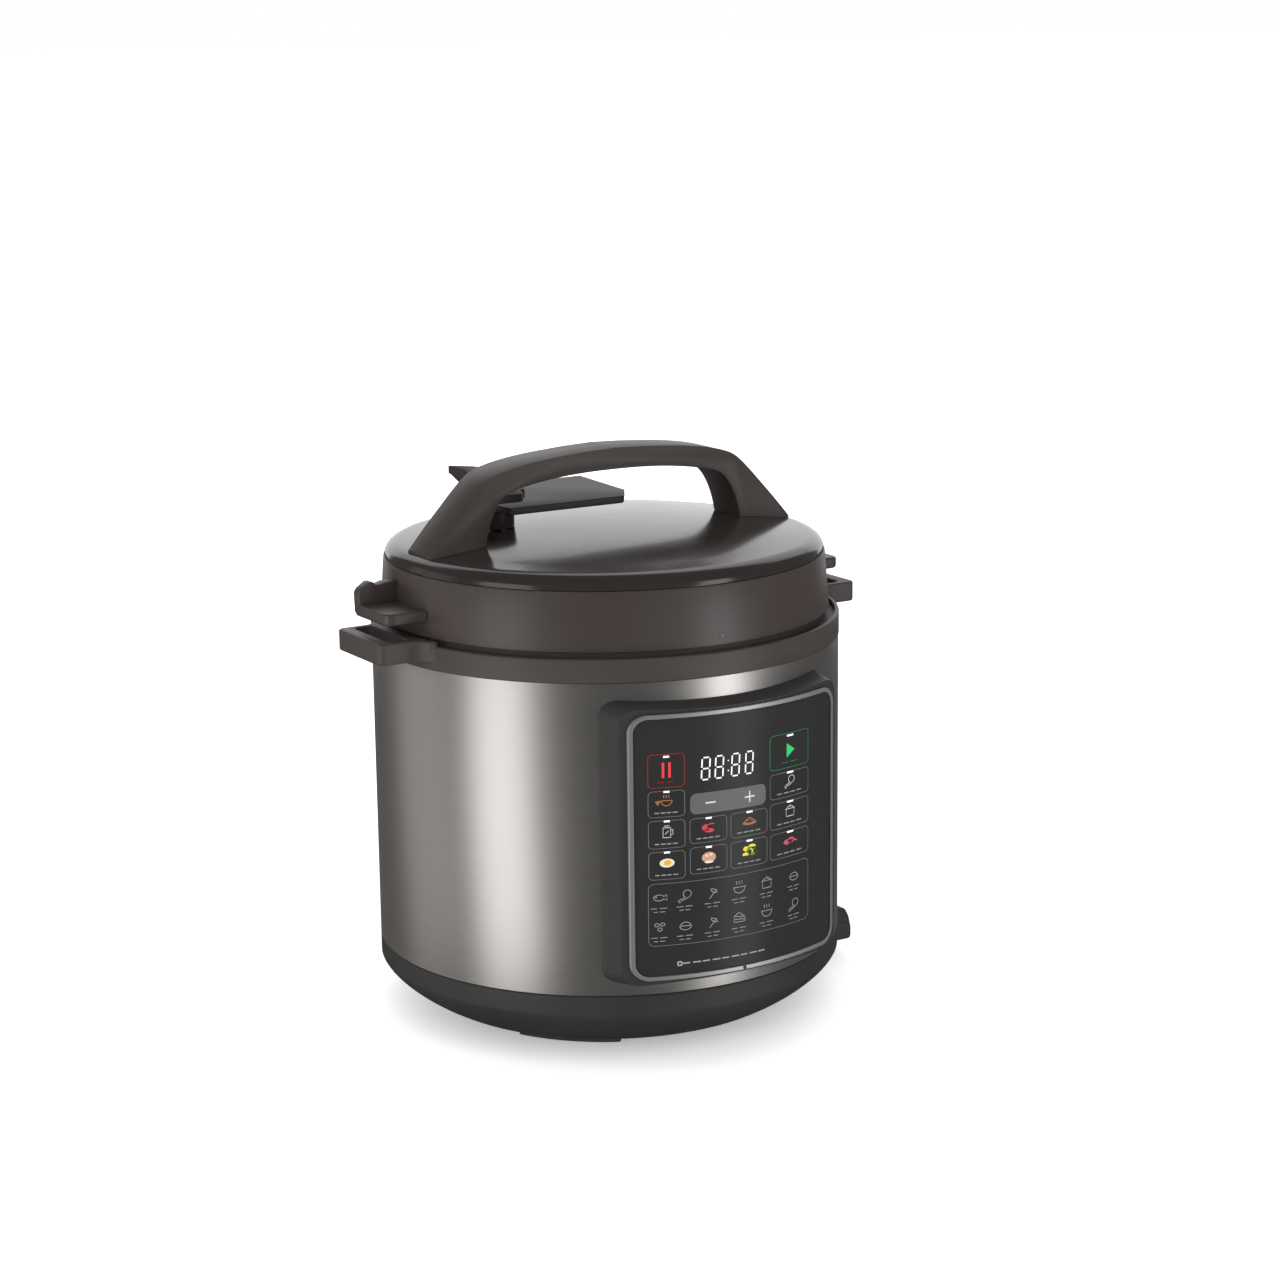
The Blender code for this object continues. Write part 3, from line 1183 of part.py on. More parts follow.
inner_lid()
sealing_ring()
sealing_ring_rack()
lid_dome()
lid_skirt()
lid_handle()
handle_strip()
for screw_name, place_xy in handle_screw_places().items():
    screw(screw_name, place_xy, under_dome_z(place_xy) - SCREW_HEAD_H - GAP * 2,
          handle_bore_top(place_xy) - 0.001)
screw("lid_centre_screw", (0, 0), inner_lid_z(0) - LINER_WALL - 0.0038, inner_lid_z(0) + 0.012,
      head_r=0.0075, shank_r=CENTRE_SCREW_R, head_h=0.0035)

exhaust_pipe()
anti_block_shield()
steam_release_lever()
valve_weight()
float_valve()
float_seal()
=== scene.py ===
"""Electric pressure cooker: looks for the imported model, in its frame, in metres."""

import math

import bpy
from mathutils import Matrix, Vector


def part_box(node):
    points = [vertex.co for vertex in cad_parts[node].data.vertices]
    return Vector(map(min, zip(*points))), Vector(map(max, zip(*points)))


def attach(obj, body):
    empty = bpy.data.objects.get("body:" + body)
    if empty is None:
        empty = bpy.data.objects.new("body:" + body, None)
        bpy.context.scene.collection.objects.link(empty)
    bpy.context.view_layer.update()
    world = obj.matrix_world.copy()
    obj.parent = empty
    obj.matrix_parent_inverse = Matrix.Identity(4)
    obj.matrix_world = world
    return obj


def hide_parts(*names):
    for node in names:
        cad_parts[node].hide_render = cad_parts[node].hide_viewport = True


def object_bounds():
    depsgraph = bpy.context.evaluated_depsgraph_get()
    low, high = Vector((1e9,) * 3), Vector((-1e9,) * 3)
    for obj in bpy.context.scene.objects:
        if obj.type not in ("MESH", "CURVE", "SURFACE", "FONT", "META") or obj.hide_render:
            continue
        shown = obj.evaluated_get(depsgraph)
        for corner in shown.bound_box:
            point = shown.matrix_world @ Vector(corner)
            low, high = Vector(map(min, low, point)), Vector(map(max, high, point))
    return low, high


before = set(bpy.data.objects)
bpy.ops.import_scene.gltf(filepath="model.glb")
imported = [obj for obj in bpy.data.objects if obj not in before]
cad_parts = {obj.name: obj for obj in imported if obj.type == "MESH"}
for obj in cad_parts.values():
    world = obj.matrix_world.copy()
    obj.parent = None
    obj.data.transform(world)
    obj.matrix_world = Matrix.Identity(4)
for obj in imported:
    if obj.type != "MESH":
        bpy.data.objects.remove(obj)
cad_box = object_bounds()


# ---------------------------------------------------------------- camera
# A long lens from the front left, a little above the lid, held almost level.
AZIMUTH = math.radians(-31.12)
ELEVATION = math.radians(12.5)
camera_data = bpy.data.cameras.new("camera")
camera_data.lens = 80.75
camera_data.sensor_width = 36
camera_data.clip_end = 50
camera = bpy.data.objects.new("camera", camera_data)
bpy.context.scene.collection.objects.link(camera)
camera.matrix_world = (
    Matrix.Translation((-0.8245, -1.4046, 0.5718))
    @ Matrix.Rotation(AZIMUTH, 4, "Z")
    @ Matrix.Rotation(math.pi / 2 - ELEVATION, 4, "X")
    @ Matrix.Rotation(-0.0116, 4, "Z")
)
bpy.context.scene.camera = camera
bpy.context.scene.view_settings.view_transform = "Standard"


# ---------------------------------------------------------------- studio
# A pale paper floor and a white surround.  Mirror-like surfaces see a dim room with five
# large soft boxes in it, which draw the upright strips on the steel and the sheen on the lid.
def new_material(name):
    made = bpy.data.materials.new(name)
    made.use_nodes = True
    return made, made.node_tree, made.node_tree.nodes["Principled BSDF"]


def set_inputs(tree, node, values):
    """Fill a node's inputs: a socket is linked, and anything else is set."""
    for key, value in values.items():
        if isinstance(value, bpy.types.NodeSocket):
            tree.links.new(value, node.inputs[key])
        else:
            node.inputs[key].default_value = value


def add_node(tree, kind, values=None, output=0, **settings):
    """A new shader node with its inputs filled; gives the output that is used."""
    made = tree.nodes.new("ShaderNode" + kind)
    for name, value in settings.items():
        setattr(made, name, value)
    set_inputs(tree, made, values or {})
    return made.outputs[output]


def maths(tree, operation, *terms):
    return add_node(tree, "Math", dict(enumerate(terms)), operation=operation)


def shades(tree, amount, low, high):
    """A colour that runs from low to high with an amount."""
    ramp = tree.nodes.new("ShaderNodeValToRGB")
    for element, tone in zip(ramp.color_ramp.elements, (low, high)):
        element.color = (*tone, 1)
    set_inputs(tree, ramp, {"Fac": amount})
    return ramp.outputs["Color"]


floor_z = cad_box[0][2]
bpy.ops.object.select_all(action="DESELECT")
bpy.ops.mesh.primitive_plane_add(size=80, location=(0, 0, floor_z - 0.0002))
studio_floor = bpy.context.object
studio_floor.name = "studio_floor"
bpy.ops.object.transform_apply(location=True, rotation=True, scale=True)

PAPER_GLOW = 0.35       # the floor's own light, for the camera only
paper, tree, shader = new_material("white_paper")
fibre = add_node(tree, "TexNoise", {"Scale": 2.0})
set_inputs(tree, shader, {
    "Roughness": 0.9, "Specular IOR Level": 0.1, "Emission Color": (1, 1, 1, 1),
    "Base Color": shades(tree, fibre, (0.95, 0.95, 0.95), (0.98, 0.98, 0.98)),
    "Emission Strength": maths(tree, "MULTIPLY", add_node(tree, "LightPath", output="Is Camera Ray"),
                               PAPER_GLOW),
})
studio_floor.data.materials.append(paper)
studio_floor.visible_glossy = False
studio_floor.visible_shadow = False

WHITE_LIGHT, WARM_LIGHT = (1, 1, 1, 1), (1.0, 0.98, 0.95, 1)
surround = bpy.data.worlds.new("studio")
surround.use_nodes = True
bpy.context.scene.world = surround
tree = surround.node_tree
daylight = tree.nodes["Background"]
set_inputs(tree, daylight, {"Color": WHITE_LIGHT, "Strength": 1.05})
seen = add_node(tree, "Background", {"Color": WHITE_LIGHT, "Strength": 1.0})
mirrored = add_node(tree, "Background", {"Color": WARM_LIGHT, "Strength": 0.085})
unmirrored = add_node(tree, "MixShader", {
    "Fac": add_node(tree, "LightPath", output="Is Camera Ray"), 1: daylight.outputs["Background"], 2: seen})
set_inputs(tree, tree.nodes["World Output"], {"Surface": add_node(tree, "MixShader", {
    "Fac": add_node(tree, "LightPath", output="Is Glossy Ray"), 1: unmirrored, 2: mirrored})})


def soft_box(name, azimuth, elevation, distance, width, height, watts, tint=(1, 1, 1)):
    """An area light that faces the cooker; azimuth runs from the front towards +X."""
    light = bpy.data.lights.new(name, "AREA")
    light.shape = "RECTANGLE"
    light.size = width
    light.size_y = height
    light.energy = watts
    light.color = tint
    lamp = bpy.data.objects.new(name, light)
    bpy.context.scene.collection.objects.link(lamp)
    lamp.visible_camera = False
    turn, rise = math.radians(azimuth), math.radians(elevation)
    away = Vector((math.sin(turn) * math.cos(rise), -math.cos(turn) * math.cos(rise), math.sin(rise)))
    lamp.location = Vector((0, 0, 0.15)) + away * distance
    lamp.rotation_euler = away.to_track_quat("Z", "Y").to_euler()


soft_box("strip_left", -81, -9, 2.2, 1.15, 2.6, 14.5, (1.0, 0.98, 0.97))
soft_box("fill_left", -130, -5, 2.4, 1.5, 2.6, 4.0, (1.0, 0.95, 0.90))
soft_box("strip_right", 27, -9, 2.4, 0.75, 2.6, 15)
soft_box("far_wall", 149, 10, 3.2, 4.4, 1.75, 25)
soft_box("far_wall_top", 149, 38, 3.4, 4.4, 1.4, 17)


# ---------------------------------------------------------------- steel sleeve
# The drum of the body: one sheet of stainless steel, rolled, welded at the back and
# brushed round and round, so that it draws light out into upright strips.
STEPS_ROUND = 192


def free_hands():
    """Leave edit mode and let go of everything."""
    if bpy.context.object and bpy.context.object.mode != "OBJECT":
        bpy.ops.object.mode_set(mode="OBJECT")
    bpy.ops.object.select_all(action="DESELECT")


def pick(piece):
    """Hold one piece and nothing else."""
    free_hands()
    bpy.context.view_layer.objects.active = piece
    piece.select_set(True)

def lathe(name, profile, steps=STEPS_ROUND, at=(0, 0)):
    """Turn a profile of (radius, height) points round an upright axis into a mesh."""
    free_hands()
    bpy.ops.mesh.primitive_plane_add(size=0.001, location=(profile[0][0], 0, profile[0][1]))
    piece = bpy.context.object
    piece.name = piece.data.name = name
    bpy.ops.object.transform_apply(location=True, rotation=True, scale=True)
    bpy.ops.object.mode_set(mode="EDIT")
    bpy.ops.mesh.select_all(action="SELECT")
    bpy.ops.mesh.merge(type="CENTER")
    for (r_0, z_0), (r_1, z_1) in zip(profile, profile[1:]):
        bpy.ops.mesh.extrude_vertices_move(
            TRANSFORM_OT_translate={"value": (r_1 - r_0, 0, z_1 - z_0)})
    bpy.ops.mesh.select_all(action="SELECT")
    bpy.ops.mesh.spin(steps=steps, angle=math.tau, center=(0, 0, 0), axis=(0, 0, 1))
    bpy.ops.mesh.select_all(action="SELECT")
    bpy.ops.mesh.remove_doubles(threshold=0.000002)
    bpy.ops.mesh.normals_make_consistent(inside=False)
    if at != (0, 0):
        bpy.ops.transform.translate(value=(*at, 0))
    bpy.ops.object.mode_set(mode="OBJECT")
    piece.data.materials.clear()
    return piece


def closed(profile):
    return profile + profile[:1]


def soft_edges(piece, width, segments=3, angle=30):
    """Round the sharp edges and shade the rest smooth."""
    pick(piece)
    if width:
        bevel = piece.modifiers.new("Bevel", "BEVEL")
        bevel.width = width
        bevel.segments = segments
        bevel.limit_method = "ANGLE"
        bevel.angle_limit = math.radians(angle)
        bpy.ops.object.modifier_apply(modifier=bevel.name)
    bpy.ops.object.shade_smooth_by_angle(angle=math.radians(40))
    return piece


def stands_for(piece, body, slot, material, *nodes):
    """Give a new piece its body and material, in place of CAD nodes; its slot is not used."""
    piece.data.materials.clear()
    piece.data.materials.append(material)
    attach(piece, body)
    if nodes:
        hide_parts(*nodes)
    return piece


def new_group(name, inputs):
    """An empty shader node group with named inputs, which gives a colour, roughness and height."""
    group = bpy.data.node_groups.new(name, "ShaderNodeTree")
    for label, value in inputs.items():
        kind = "NodeSocketColor" if label == "Tone" else "NodeSocketFloat"
        group.interface.new_socket(label, in_out="INPUT", socket_type=kind).default_value = value
    for label, kind in (("Color", "NodeSocketColor"), ("Roughness", "NodeSocketFloat"),
                        ("Height", "NodeSocketFloat")):
        group.interface.new_socket(label, in_out="OUTPUT", socket_type=kind)
    return group, group.nodes.new("NodeGroupInput"), group.nodes.new("NodeGroupOutput")


def finish_nodes(material, *names):
    """Give the CAD nodes that stay as they are their material."""
    for name in names:
        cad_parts[name].data.materials[0] = material


# Fine lines that run level round the drum: noise stretched on height, kept slightly uneven
# along the way, so the lines fade in and out as they do from a brushing belt.
ALONG = 14.0            # turns of the noise per metre along a line
brushing, brush_in, brush_out = new_group("level_brushing", {
    "Lines per metre": 2600.0, "Roughness": 0.28, "Spread": 0.12, "Tone": (0.6, 0.6, 0.6, 1),
    "Contrast": 0.12})
apart = brushing.nodes.new("ShaderNodeSeparateXYZ")
set_inputs(brushing, apart, {"Vector": add_node(brushing, "TexCoord", output="Object")})
stretched = add_node(brushing, "CombineXYZ", {
    "X": maths(brushing, "MULTIPLY", apart.outputs["X"], ALONG),
    "Y": maths(brushing, "MULTIPLY", apart.outputs["Y"], ALONG),
    "Z": maths(brushing, "MULTIPLY", apart.outputs["Z"], brush_in.outputs["Lines per metre"]),
})
strokes = add_node(brushing, "TexNoise", {"Scale": 1.0, "Detail": 3.0, "Roughness": 0.7,
                                          "Vector": stretched})
darker = maths(brushing, "MULTIPLY_ADD", strokes, brush_in.outputs["Contrast"], 0.92)
set_inputs(brushing, brush_out, {
    "Color": add_node(brushing, "Mix", {"Factor": 1.0, "A": brush_in.outputs["Tone"], "B": darker},
                      "Result", data_type="RGBA", blend_type="MULTIPLY"),
    "Roughness": maths(brushing, "MULTIPLY_ADD", strokes, brush_in.outputs["Spread"],
                       brush_in.outputs["Roughness"]),
    "Height": strokes,
})


def textured(name, group, group_values, relief_depth, relief_strength, plain):
    """A material whose colour, roughness and relief come from a shared group."""
    made, tree, shader = new_material(name)
    worked = tree.nodes.new("ShaderNodeGroup")
    worked.node_tree = group
    set_inputs(tree, worked, group_values)
    set_inputs(tree, shader, {**plain, "Base Color": worked.outputs["Color"],
                              "Roughness": worked.outputs["Roughness"]})
    if relief_depth:
        set_inputs(tree, shader, {"Normal": add_node(tree, "Bump", {
            "Distance": relief_depth, "Strength": relief_strength, "Height": worked.outputs["Height"]})})
    return made


def steel(name, tone, roughness, lines_per_metre=2600.0, spread=0.12):
    """A metal with the level brushing on it."""
    return textured(name, brushing, {"Lines per metre": lines_per_metre, "Roughness": roughness,
                                     "Spread": spread, "Tone": (*tone, 1)},
                    0.00002, 0.6, {"Metallic": 1.0})


sleeve_steel = steel("sleeve_steel", (0.66, 0.64, 0.62), 0.30, spread=0.10)
sleeve_low, sleeve_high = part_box("outer_shell")
body_r = sleeve_high[0]
sleeve_z = (sleeve_low[2], sleeve_high[2])
wall = 0.001
sleeve = lathe("sleeve", closed([
    (body_r, sleeve_z[1]), (body_r, sleeve_z[0]),
    (body_r - wall, sleeve_z[0]), (body_r - wall, sleeve_z[1]),
]))
soft_edges(sleeve, 0.0002, 2)
stands_for(sleeve, "base", "brushed_steel", sleeve_steel, "outer_shell")


# ---------------------------------------------------------------- base
# One injection-moulded bowl in satin black, its side an ogee that runs under the drum.
# A cable notch is cut in the rim, and a steel plate with cooling slots closes it below.
grain, grain_in, grain_out = new_group("moulded_grain", {
    "Size": 2400.0, "Roughness": 0.42, "Tone": (0.03, 0.03, 0.03, 1), "Dust": 0.15})
DUST_TONE, UNEVEN_GLOSS = (0.16, 0.15, 0.14, 1), 0.10
where = add_node(grain, "TexCoord", output="Object")
pits = add_node(grain, "TexVoronoi", {"Vector": where, "Scale": grain_in.outputs["Size"]},
                "Distance", feature="SMOOTH_F1")
flow = add_node(grain, "TexNoise", {"Scale": 26.0, "Detail": 4.0, "Vector": where})
settled = maths(grain, "MULTIPLY", flow, grain_in.outputs["Dust"])
set_inputs(grain, grain_out, {
    "Color": add_node(grain, "Mix", {"Factor": settled, "A": grain_in.outputs["Tone"], "B": DUST_TONE},
                      "Result", data_type="RGBA"),
    "Roughness": maths(grain, "MULTIPLY_ADD", flow, UNEVEN_GLOSS, grain_in.outputs["Roughness"]),
    "Height": pits,
})


def plastic(name, tone, roughness, size=2400.0, depth=0.00002, dust=0.10, coat=0.0, specular=0.5):
    """A moulded plastic or rubber with its spark-eroded grain."""
    return textured(name, grain, {"Size": size, "Roughness": roughness, "Tone": (*tone, 1), "Dust": dust},
                    depth, 0.5, {"Specular IOR Level": specular, "Coat Weight": coat,
                                 "Coat Roughness": 0.03})


def turned_cut(piece, cutter, operation="DIFFERENCE"):
    """Cut a piece with another mesh, or join them, and drop the tool."""
    pick(piece)
    carve = piece.modifiers.new("Carve", "BOOLEAN")
    carve.operation = operation
    carve.object = cutter
    carve.solver = "EXACT"
    bpy.ops.object.modifier_apply(modifier=carve.name)
    bpy.data.objects.remove(cutter, do_unlink=True)
    return piece


def block(name, low, high, turn=0.0):
    """A box between two corners, then turned about the body's axis."""
    free_hands()
    low, high = Vector(low), Vector(high)
    bpy.ops.mesh.primitive_cube_add(size=1, location=(low + high) / 2)
    piece = bpy.context.object
    piece.name = piece.data.name = name
    piece.scale = high - low
    bpy.ops.object.transform_apply(location=True, rotation=True, scale=True)
    if turn:
        piece.rotation_euler = (0, 0, turn)
        bpy.ops.object.transform_apply(location=True, rotation=True, scale=True)
    return piece


base_black = plastic("base_black", (0.024, 0.024, 0.024), 0.48, specular=0.35)
foot_z, rim_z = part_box("base_housing")[0][2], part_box("base_housing")[1][2]
BOWL_SIDE_Z = 0.0296
BOWL_IN = 0.044
BOWL_CURVE = 1.48
BOWL_WALL = 0.0025
floor_angle = math.asin((1 - foot_z / BOWL_SIDE_Z) ** (1 / BOWL_CURVE))
side = []
for step in range(25):
    angle = floor_angle * step / 24
    side.append((body_r - BOWL_IN + BOWL_IN * math.cos(angle) ** BOWL_CURVE,
                 BOWL_SIDE_Z * (1 - math.sin(angle) ** BOWL_CURVE)))
opening_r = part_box("base_plate")[1][0] + 0.0006
bowl = lathe("base_bowl", closed(
    [(body_r - 0.0006, rim_z), (body_r, rim_z - 0.0008)] + side
    + [(opening_r, foot_z), (opening_r, foot_z + 0.0018), (opening_r - 0.006, foot_z + 0.0018),
       (opening_r - 0.006, foot_z + 0.004)]
    + [(r - BOWL_WALL, z + BOWL_WALL * 0.6) for r, z in reversed(side) if z > foot_z + 0.004]
    + [(body_r - BOWL_WALL, rim_z)]))
notch = block("notch", (-0.0065, -0.132, -0.001), (0.0065, -0.0985, 0.0112), math.radians(23.5))
turned_cut(bowl, notch)
soft_edges(bowl, 0.0004, 2, 35)
stands_for(bowl, "base", "satin_black_plastic", base_black, "base_housing")

# The plate under the bowl is pressed and slotted steel, held by four screws from below.
plain_steel = steel("plain_steel", (0.56, 0.56, 0.55), 0.30, lines_per_metre=900.0, spread=0.15)
finish_nodes(plain_steel, "base_plate", *(f"base_screw_{index}" for index in range(1, 5)))


# ---------------------------------------------------------------- feet
# Four curved pads of black rubber, pressed into the foot ring of the bowl.  They are moulded
# one by one, so their edges are soft.
def slab(name, outline, low, high, upright=False):
    """A flat outline given thickness: along Z, or along Y if it stands upright."""
    free_hands()
    place = (lambda p, d: Vector((p[0], d, p[1]))) if upright else (lambda p, d: Vector((p[0], p[1], d)))
    bpy.ops.mesh.primitive_plane_add(size=0.001, location=place(outline[0], low))
    piece = bpy.context.object
    piece.name = piece.data.name = name
    bpy.ops.object.transform_apply(location=True, rotation=True, scale=True)
    bpy.ops.object.mode_set(mode="EDIT")
    bpy.ops.mesh.select_all(action="SELECT")
    bpy.ops.mesh.merge(type="CENTER")
    for start, end in zip(outline, outline[1:] + outline[:1]):
        step = place(end, low) - place(start, low)
        bpy.ops.mesh.extrude_vertices_move(TRANSFORM_OT_translate={"value": step})
    bpy.ops.mesh.select_all(action="SELECT")
    bpy.ops.mesh.remove_doubles(threshold=0.000002)
    bpy.ops.mesh.select_all(action="SELECT")
    bpy.ops.mesh.edge_face_add()
    bpy.ops.mesh.extrude_region_move(
        TRANSFORM_OT_translate={"value": place((0, 0), high) - place((0, 0), low)})
    bpy.ops.mesh.select_all(action="SELECT")
    bpy.ops.mesh.normals_make_consistent(inside=False)
    bpy.ops.object.mode_set(mode="OBJECT")
    piece.data.materials.clear()
    return piece


def arc(x, y, radius, start, end, steps=6):
    """Points along an arc, with its angles in degrees."""
    turns = [math.radians(start + (end - start) * step / steps) for step in range(steps + 1)]
    return [(x + radius * math.cos(turn), y + radius * math.sin(turn)) for turn in turns]


foot_rubber = plastic("foot_rubber", (0.022, 0.022, 0.022), 0.75, size=1500.0, depth=0.00005, dust=0.35)
FOOT_R = (0.0800, 0.0975)
for index in range(4):
    middle = 45 + 90 * index
    outline = (arc(0, 0, FOOT_R[1], middle - 18, middle + 18, 14)
               + arc(0, 0, FOOT_R[0], middle + 18, middle - 18, 14))
    foot = slab(f"rubber_foot_{index + 1}", outline, 0.0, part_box(f"foot_{index + 1}")[1][2])
    soft_edges(foot, 0.0012, 3, 40)
    stands_for(foot, "base", "foot_rubber", foot_rubber, f"foot_{index + 1}")


# ---------------------------------------------------------------- upper ring
# A moulded ring clips into the top of the drum and carries both side grips, each with a
# slot for the fingers.  A low ledge inside its lip keeps a dark gap under the lid.
def mirrored_x(outline):
    return [(-x, y) for x, y in reversed(outline)]


def round_rect(x, y, half_x, half_y, radius, steps=5):
    corners = ((1, -1, -90), (1, 1, 0), (-1, 1, 90), (-1, -1, 180))
    points = []
    for side_x, side_y, turn in corners:
        points += arc(x + side_x * (half_x - radius), y + side_y * (half_y - radius),
                      radius, turn, turn + 90, steps)
    return points


ring_black = plastic("ring_black", (0.048, 0.037, 0.035), 0.40)
RING_R = 0.1353
RING_Z = (0.2171, 0.2300)
LEDGE_Z = 0.2270
ring = lathe("grip_ring", closed([
    (RING_R, RING_Z[0]), (RING_R, RING_Z[1] - 0.0009), (RING_R - 0.0003, RING_Z[1] - 0.0003),
    (RING_R - 0.0009, RING_Z[1]), (0.1330, RING_Z[1]), (0.1328, LEDGE_Z), (0.1272, LEDGE_Z),
    (0.1272, 0.2320), (0.1264, 0.2320), (0.1264, RING_Z[0]), (0.1304, RING_Z[0]),
    (0.1304, 0.2091), (0.1324, 0.2091), (0.1324, RING_Z[0]),
]))
grip_reach, GRIP_HALF_W, GRIP_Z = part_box("upper_ring")[1][0], 0.0272, (0.2205, 0.2325)
flank = [(0.1278, 0.0375), (0.1300, 0.0366), (0.1326, 0.0335), (0.1352, 0.0300), (0.1385, 0.0278)]
half = flank + [(0.1420, GRIP_HALF_W)] + arc(grip_reach - 0.0045, GRIP_HALF_W - 0.0045, 0.0045, 90, 0)
grip_outline = half + [(x, -y) for x, y in reversed(half)]
finger_slot = round_rect(0.14425, 0, 0.00575, 0.0225, 0.0040)
for outline, slot_outline, word in ((grip_outline, finger_slot, "right"),
                                    (mirrored_x(grip_outline), mirrored_x(finger_slot), "left")):
    grip = slab("grip_" + word, outline, *GRIP_Z)
    turned_cut(grip, slab("slot_" + word, slot_outline, 0.20, 0.25))
    soft_edges(grip, 0.0012, 3, 50)
    turned_cut(grip, lathe("clear_" + word, [(0, 0.2171), (0.1300, 0.2171), (0.1300, LEDGE_Z),
                                             (0.1330, LEDGE_Z), (0.1330, 0.240), (0, 0.240)]))
    turned_cut(ring, grip, "UNION")
soft_edges(ring, 0, 1, 30)
stands_for(ring, "base", "satin_black_plastic", ring_black, "upper_ring")


# ---------------------------------------------------------------- inner casing and pot
# The casing is drawn from steel, with a shelf for the pot and a collar whose six lugs lock
# the lid.  The pot is a thicker drawn pot with a turned rim, and lifts straight out.
liner_steel = steel("liner_steel", (0.60, 0.60, 0.59), 0.28, lines_per_metre=1500.0)
pot_steel = steel("pot_steel", (0.68, 0.67, 0.65), 0.18, lines_per_metre=2000.0, spread=0.08)
casing = lathe("inner_casing", closed([
    (0.0300, 0.0420), (0.1152, 0.0420), (0.1152, 0.2160), (0.1255, 0.2160), (0.1255, 0.2400),
    (0.1243, 0.2400), (0.1243, 0.2172), (0.1140, 0.2172), (0.1140, 0.0432), (0.0300, 0.0432),
]), 144)
for index in range(6):
    lug = block("lug", (0.1219, -0.011, 0.2382), (0.1249, 0.011, 0.2400), math.tau * index / 6)
    turned_cut(casing, lug, "UNION")
soft_edges(casing, 0.0003, 2, 40)
stands_for(casing, "base", "inner_steel", liner_steel, "locking_liner")

POT_R, POT_WALL, POT_BOTTOM, POT_RIM = 0.1110, 0.0015, 0.0538, (0.2175, 0.2191)
pot = lathe("cooking_pot", [(0, POT_BOTTOM)]
            + [(POT_R - 0.012 + x, POT_BOTTOM + 0.012 + z) for x, z in arc(0, 0, 0.012, -90, 0, 8)]
            + [(POT_R, POT_RIM[0]), (0.1190, POT_RIM[0])]
            + [(0.1192 + x, 0.2183 + z) for x, z in arc(0, 0, 0.0008, -90, 90, 6)]
            + [(POT_R - POT_WALL + 0.001, POT_RIM[1]), (POT_R - POT_WALL, POT_RIM[1] - 0.001)]
            + [(POT_R - 0.012 + x, POT_BOTTOM + 0.012 + z)
               for x, z in arc(0, 0, 0.012 - POT_WALL, 0, -90, 8)]
            + [(0, POT_BOTTOM + POT_WALL)], 144)
soft_edges(pot, 0, 1, 30)
stands_for(pot, "pot", "inner_steel", pot_steel, "inner_pot")


# ---------------------------------------------------------------- heating plate and sensor
# Cast aluminium with the element cast in, machined flat on top, which leaves fine rings.
# The sensor's cap stands on a spring in the middle and presses on the pot.
cast_metal = steel("cast_metal", (0.55, 0.55, 0.55), 0.40, lines_per_metre=700.0, spread=0.15)
plate = lathe("cast_plate", closed([
    (0.0160, 0.0435), (0.0820, 0.0435), (0.0820, 0.0515), (0.0790, 0.0535),
    (0.0560, 0.0535), (0.0555, 0.0530), (0.0550, 0.0535), (0.0360, 0.0535), (0.0355, 0.0530),
    (0.0350, 0.0535), (0.0160, 0.0535),
]), 128)
soft_edges(plate, 0.0003, 2, 40)
stands_for(plate, "base", "cast_aluminium", cast_metal, "heating_plate")
finish_nodes(cast_metal, "temperature_sensor")


# ---------------------------------------------------------------- lid skirt
# The matt band of the lid, moulded in one with two fins that park on the grips.  It tapers
# slightly to the border of the glossy cover.
skirt_black = plastic("skirt_black", (0.040, 0.028, 0.026), 0.33, depth=0.000012, specular=0.7)
SKIRT_Z = (0.2325, 0.2653)
skirt = lathe("lid_band", closed([
    (0.1292, SKIRT_Z[0]), (0.1295, SKIRT_Z[0] + 0.0003),
    (0.1271, SKIRT_Z[1] - 0.0008), (0.1266, SKIRT_Z[1]), (0.1195, SKIRT_Z[1]),
    (0.1195, SKIRT_Z[1] - 0.0020), (0.1249, SKIRT_Z[1] - 0.0020), (0.1274, SKIRT_Z[0]),
]))
fin_reach, FIN_HALF_W, FIN_Z = 0.1510, 0.0215, (0.2405, 0.2473)
FIN_ROOT = 0.1266
fin_half = [(FIN_ROOT, 0.0235), (0.1290, 0.0221), (0.1320, FIN_HALF_W)] + arc(
    fin_reach - 0.006, FIN_HALF_W - 0.006, 0.006, 90, 0, 6)
fin_outline = fin_half + [(x, -y) for x, y in reversed(fin_half)]
RIB_TOP = 0.2592
rib_outline = [(FIN_ROOT, FIN_Z[0] + 0.001), (0.1500, FIN_Z[0] + 0.001), (0.1504, RIB_TOP - 0.006),
               (0.1490, RIB_TOP - 0.0035), (0.1440, RIB_TOP), (0.1412, RIB_TOP), (0.1402, RIB_TOP - 0.0016),
               (0.1372, RIB_TOP - 0.0018), (0.1340, RIB_TOP - 0.0008), (FIN_ROOT, RIB_TOP - 0.0006)]
for turned, word in ((lambda outline: outline, "right"), (mirrored_x, "left")):
    fin = slab("fin_" + word, turned(fin_outline), *FIN_Z)
    soft_edges(fin, 0.0014, 3, 50)
    rib = slab("rib_" + word, turned(rib_outline), FIN_HALF_W - 0.0085, FIN_HALF_W - 0.0005, upright=True)
    soft_edges(rib, 0.0009, 2, 40)
    turned_cut(fin, rib, "UNION")
    turned_cut(skirt, fin, "UNION")
soft_edges(skirt, 0, 1, 30)
stands_for(skirt, "lid", "satin_black_plastic", skirt_black, "lid_skirt")


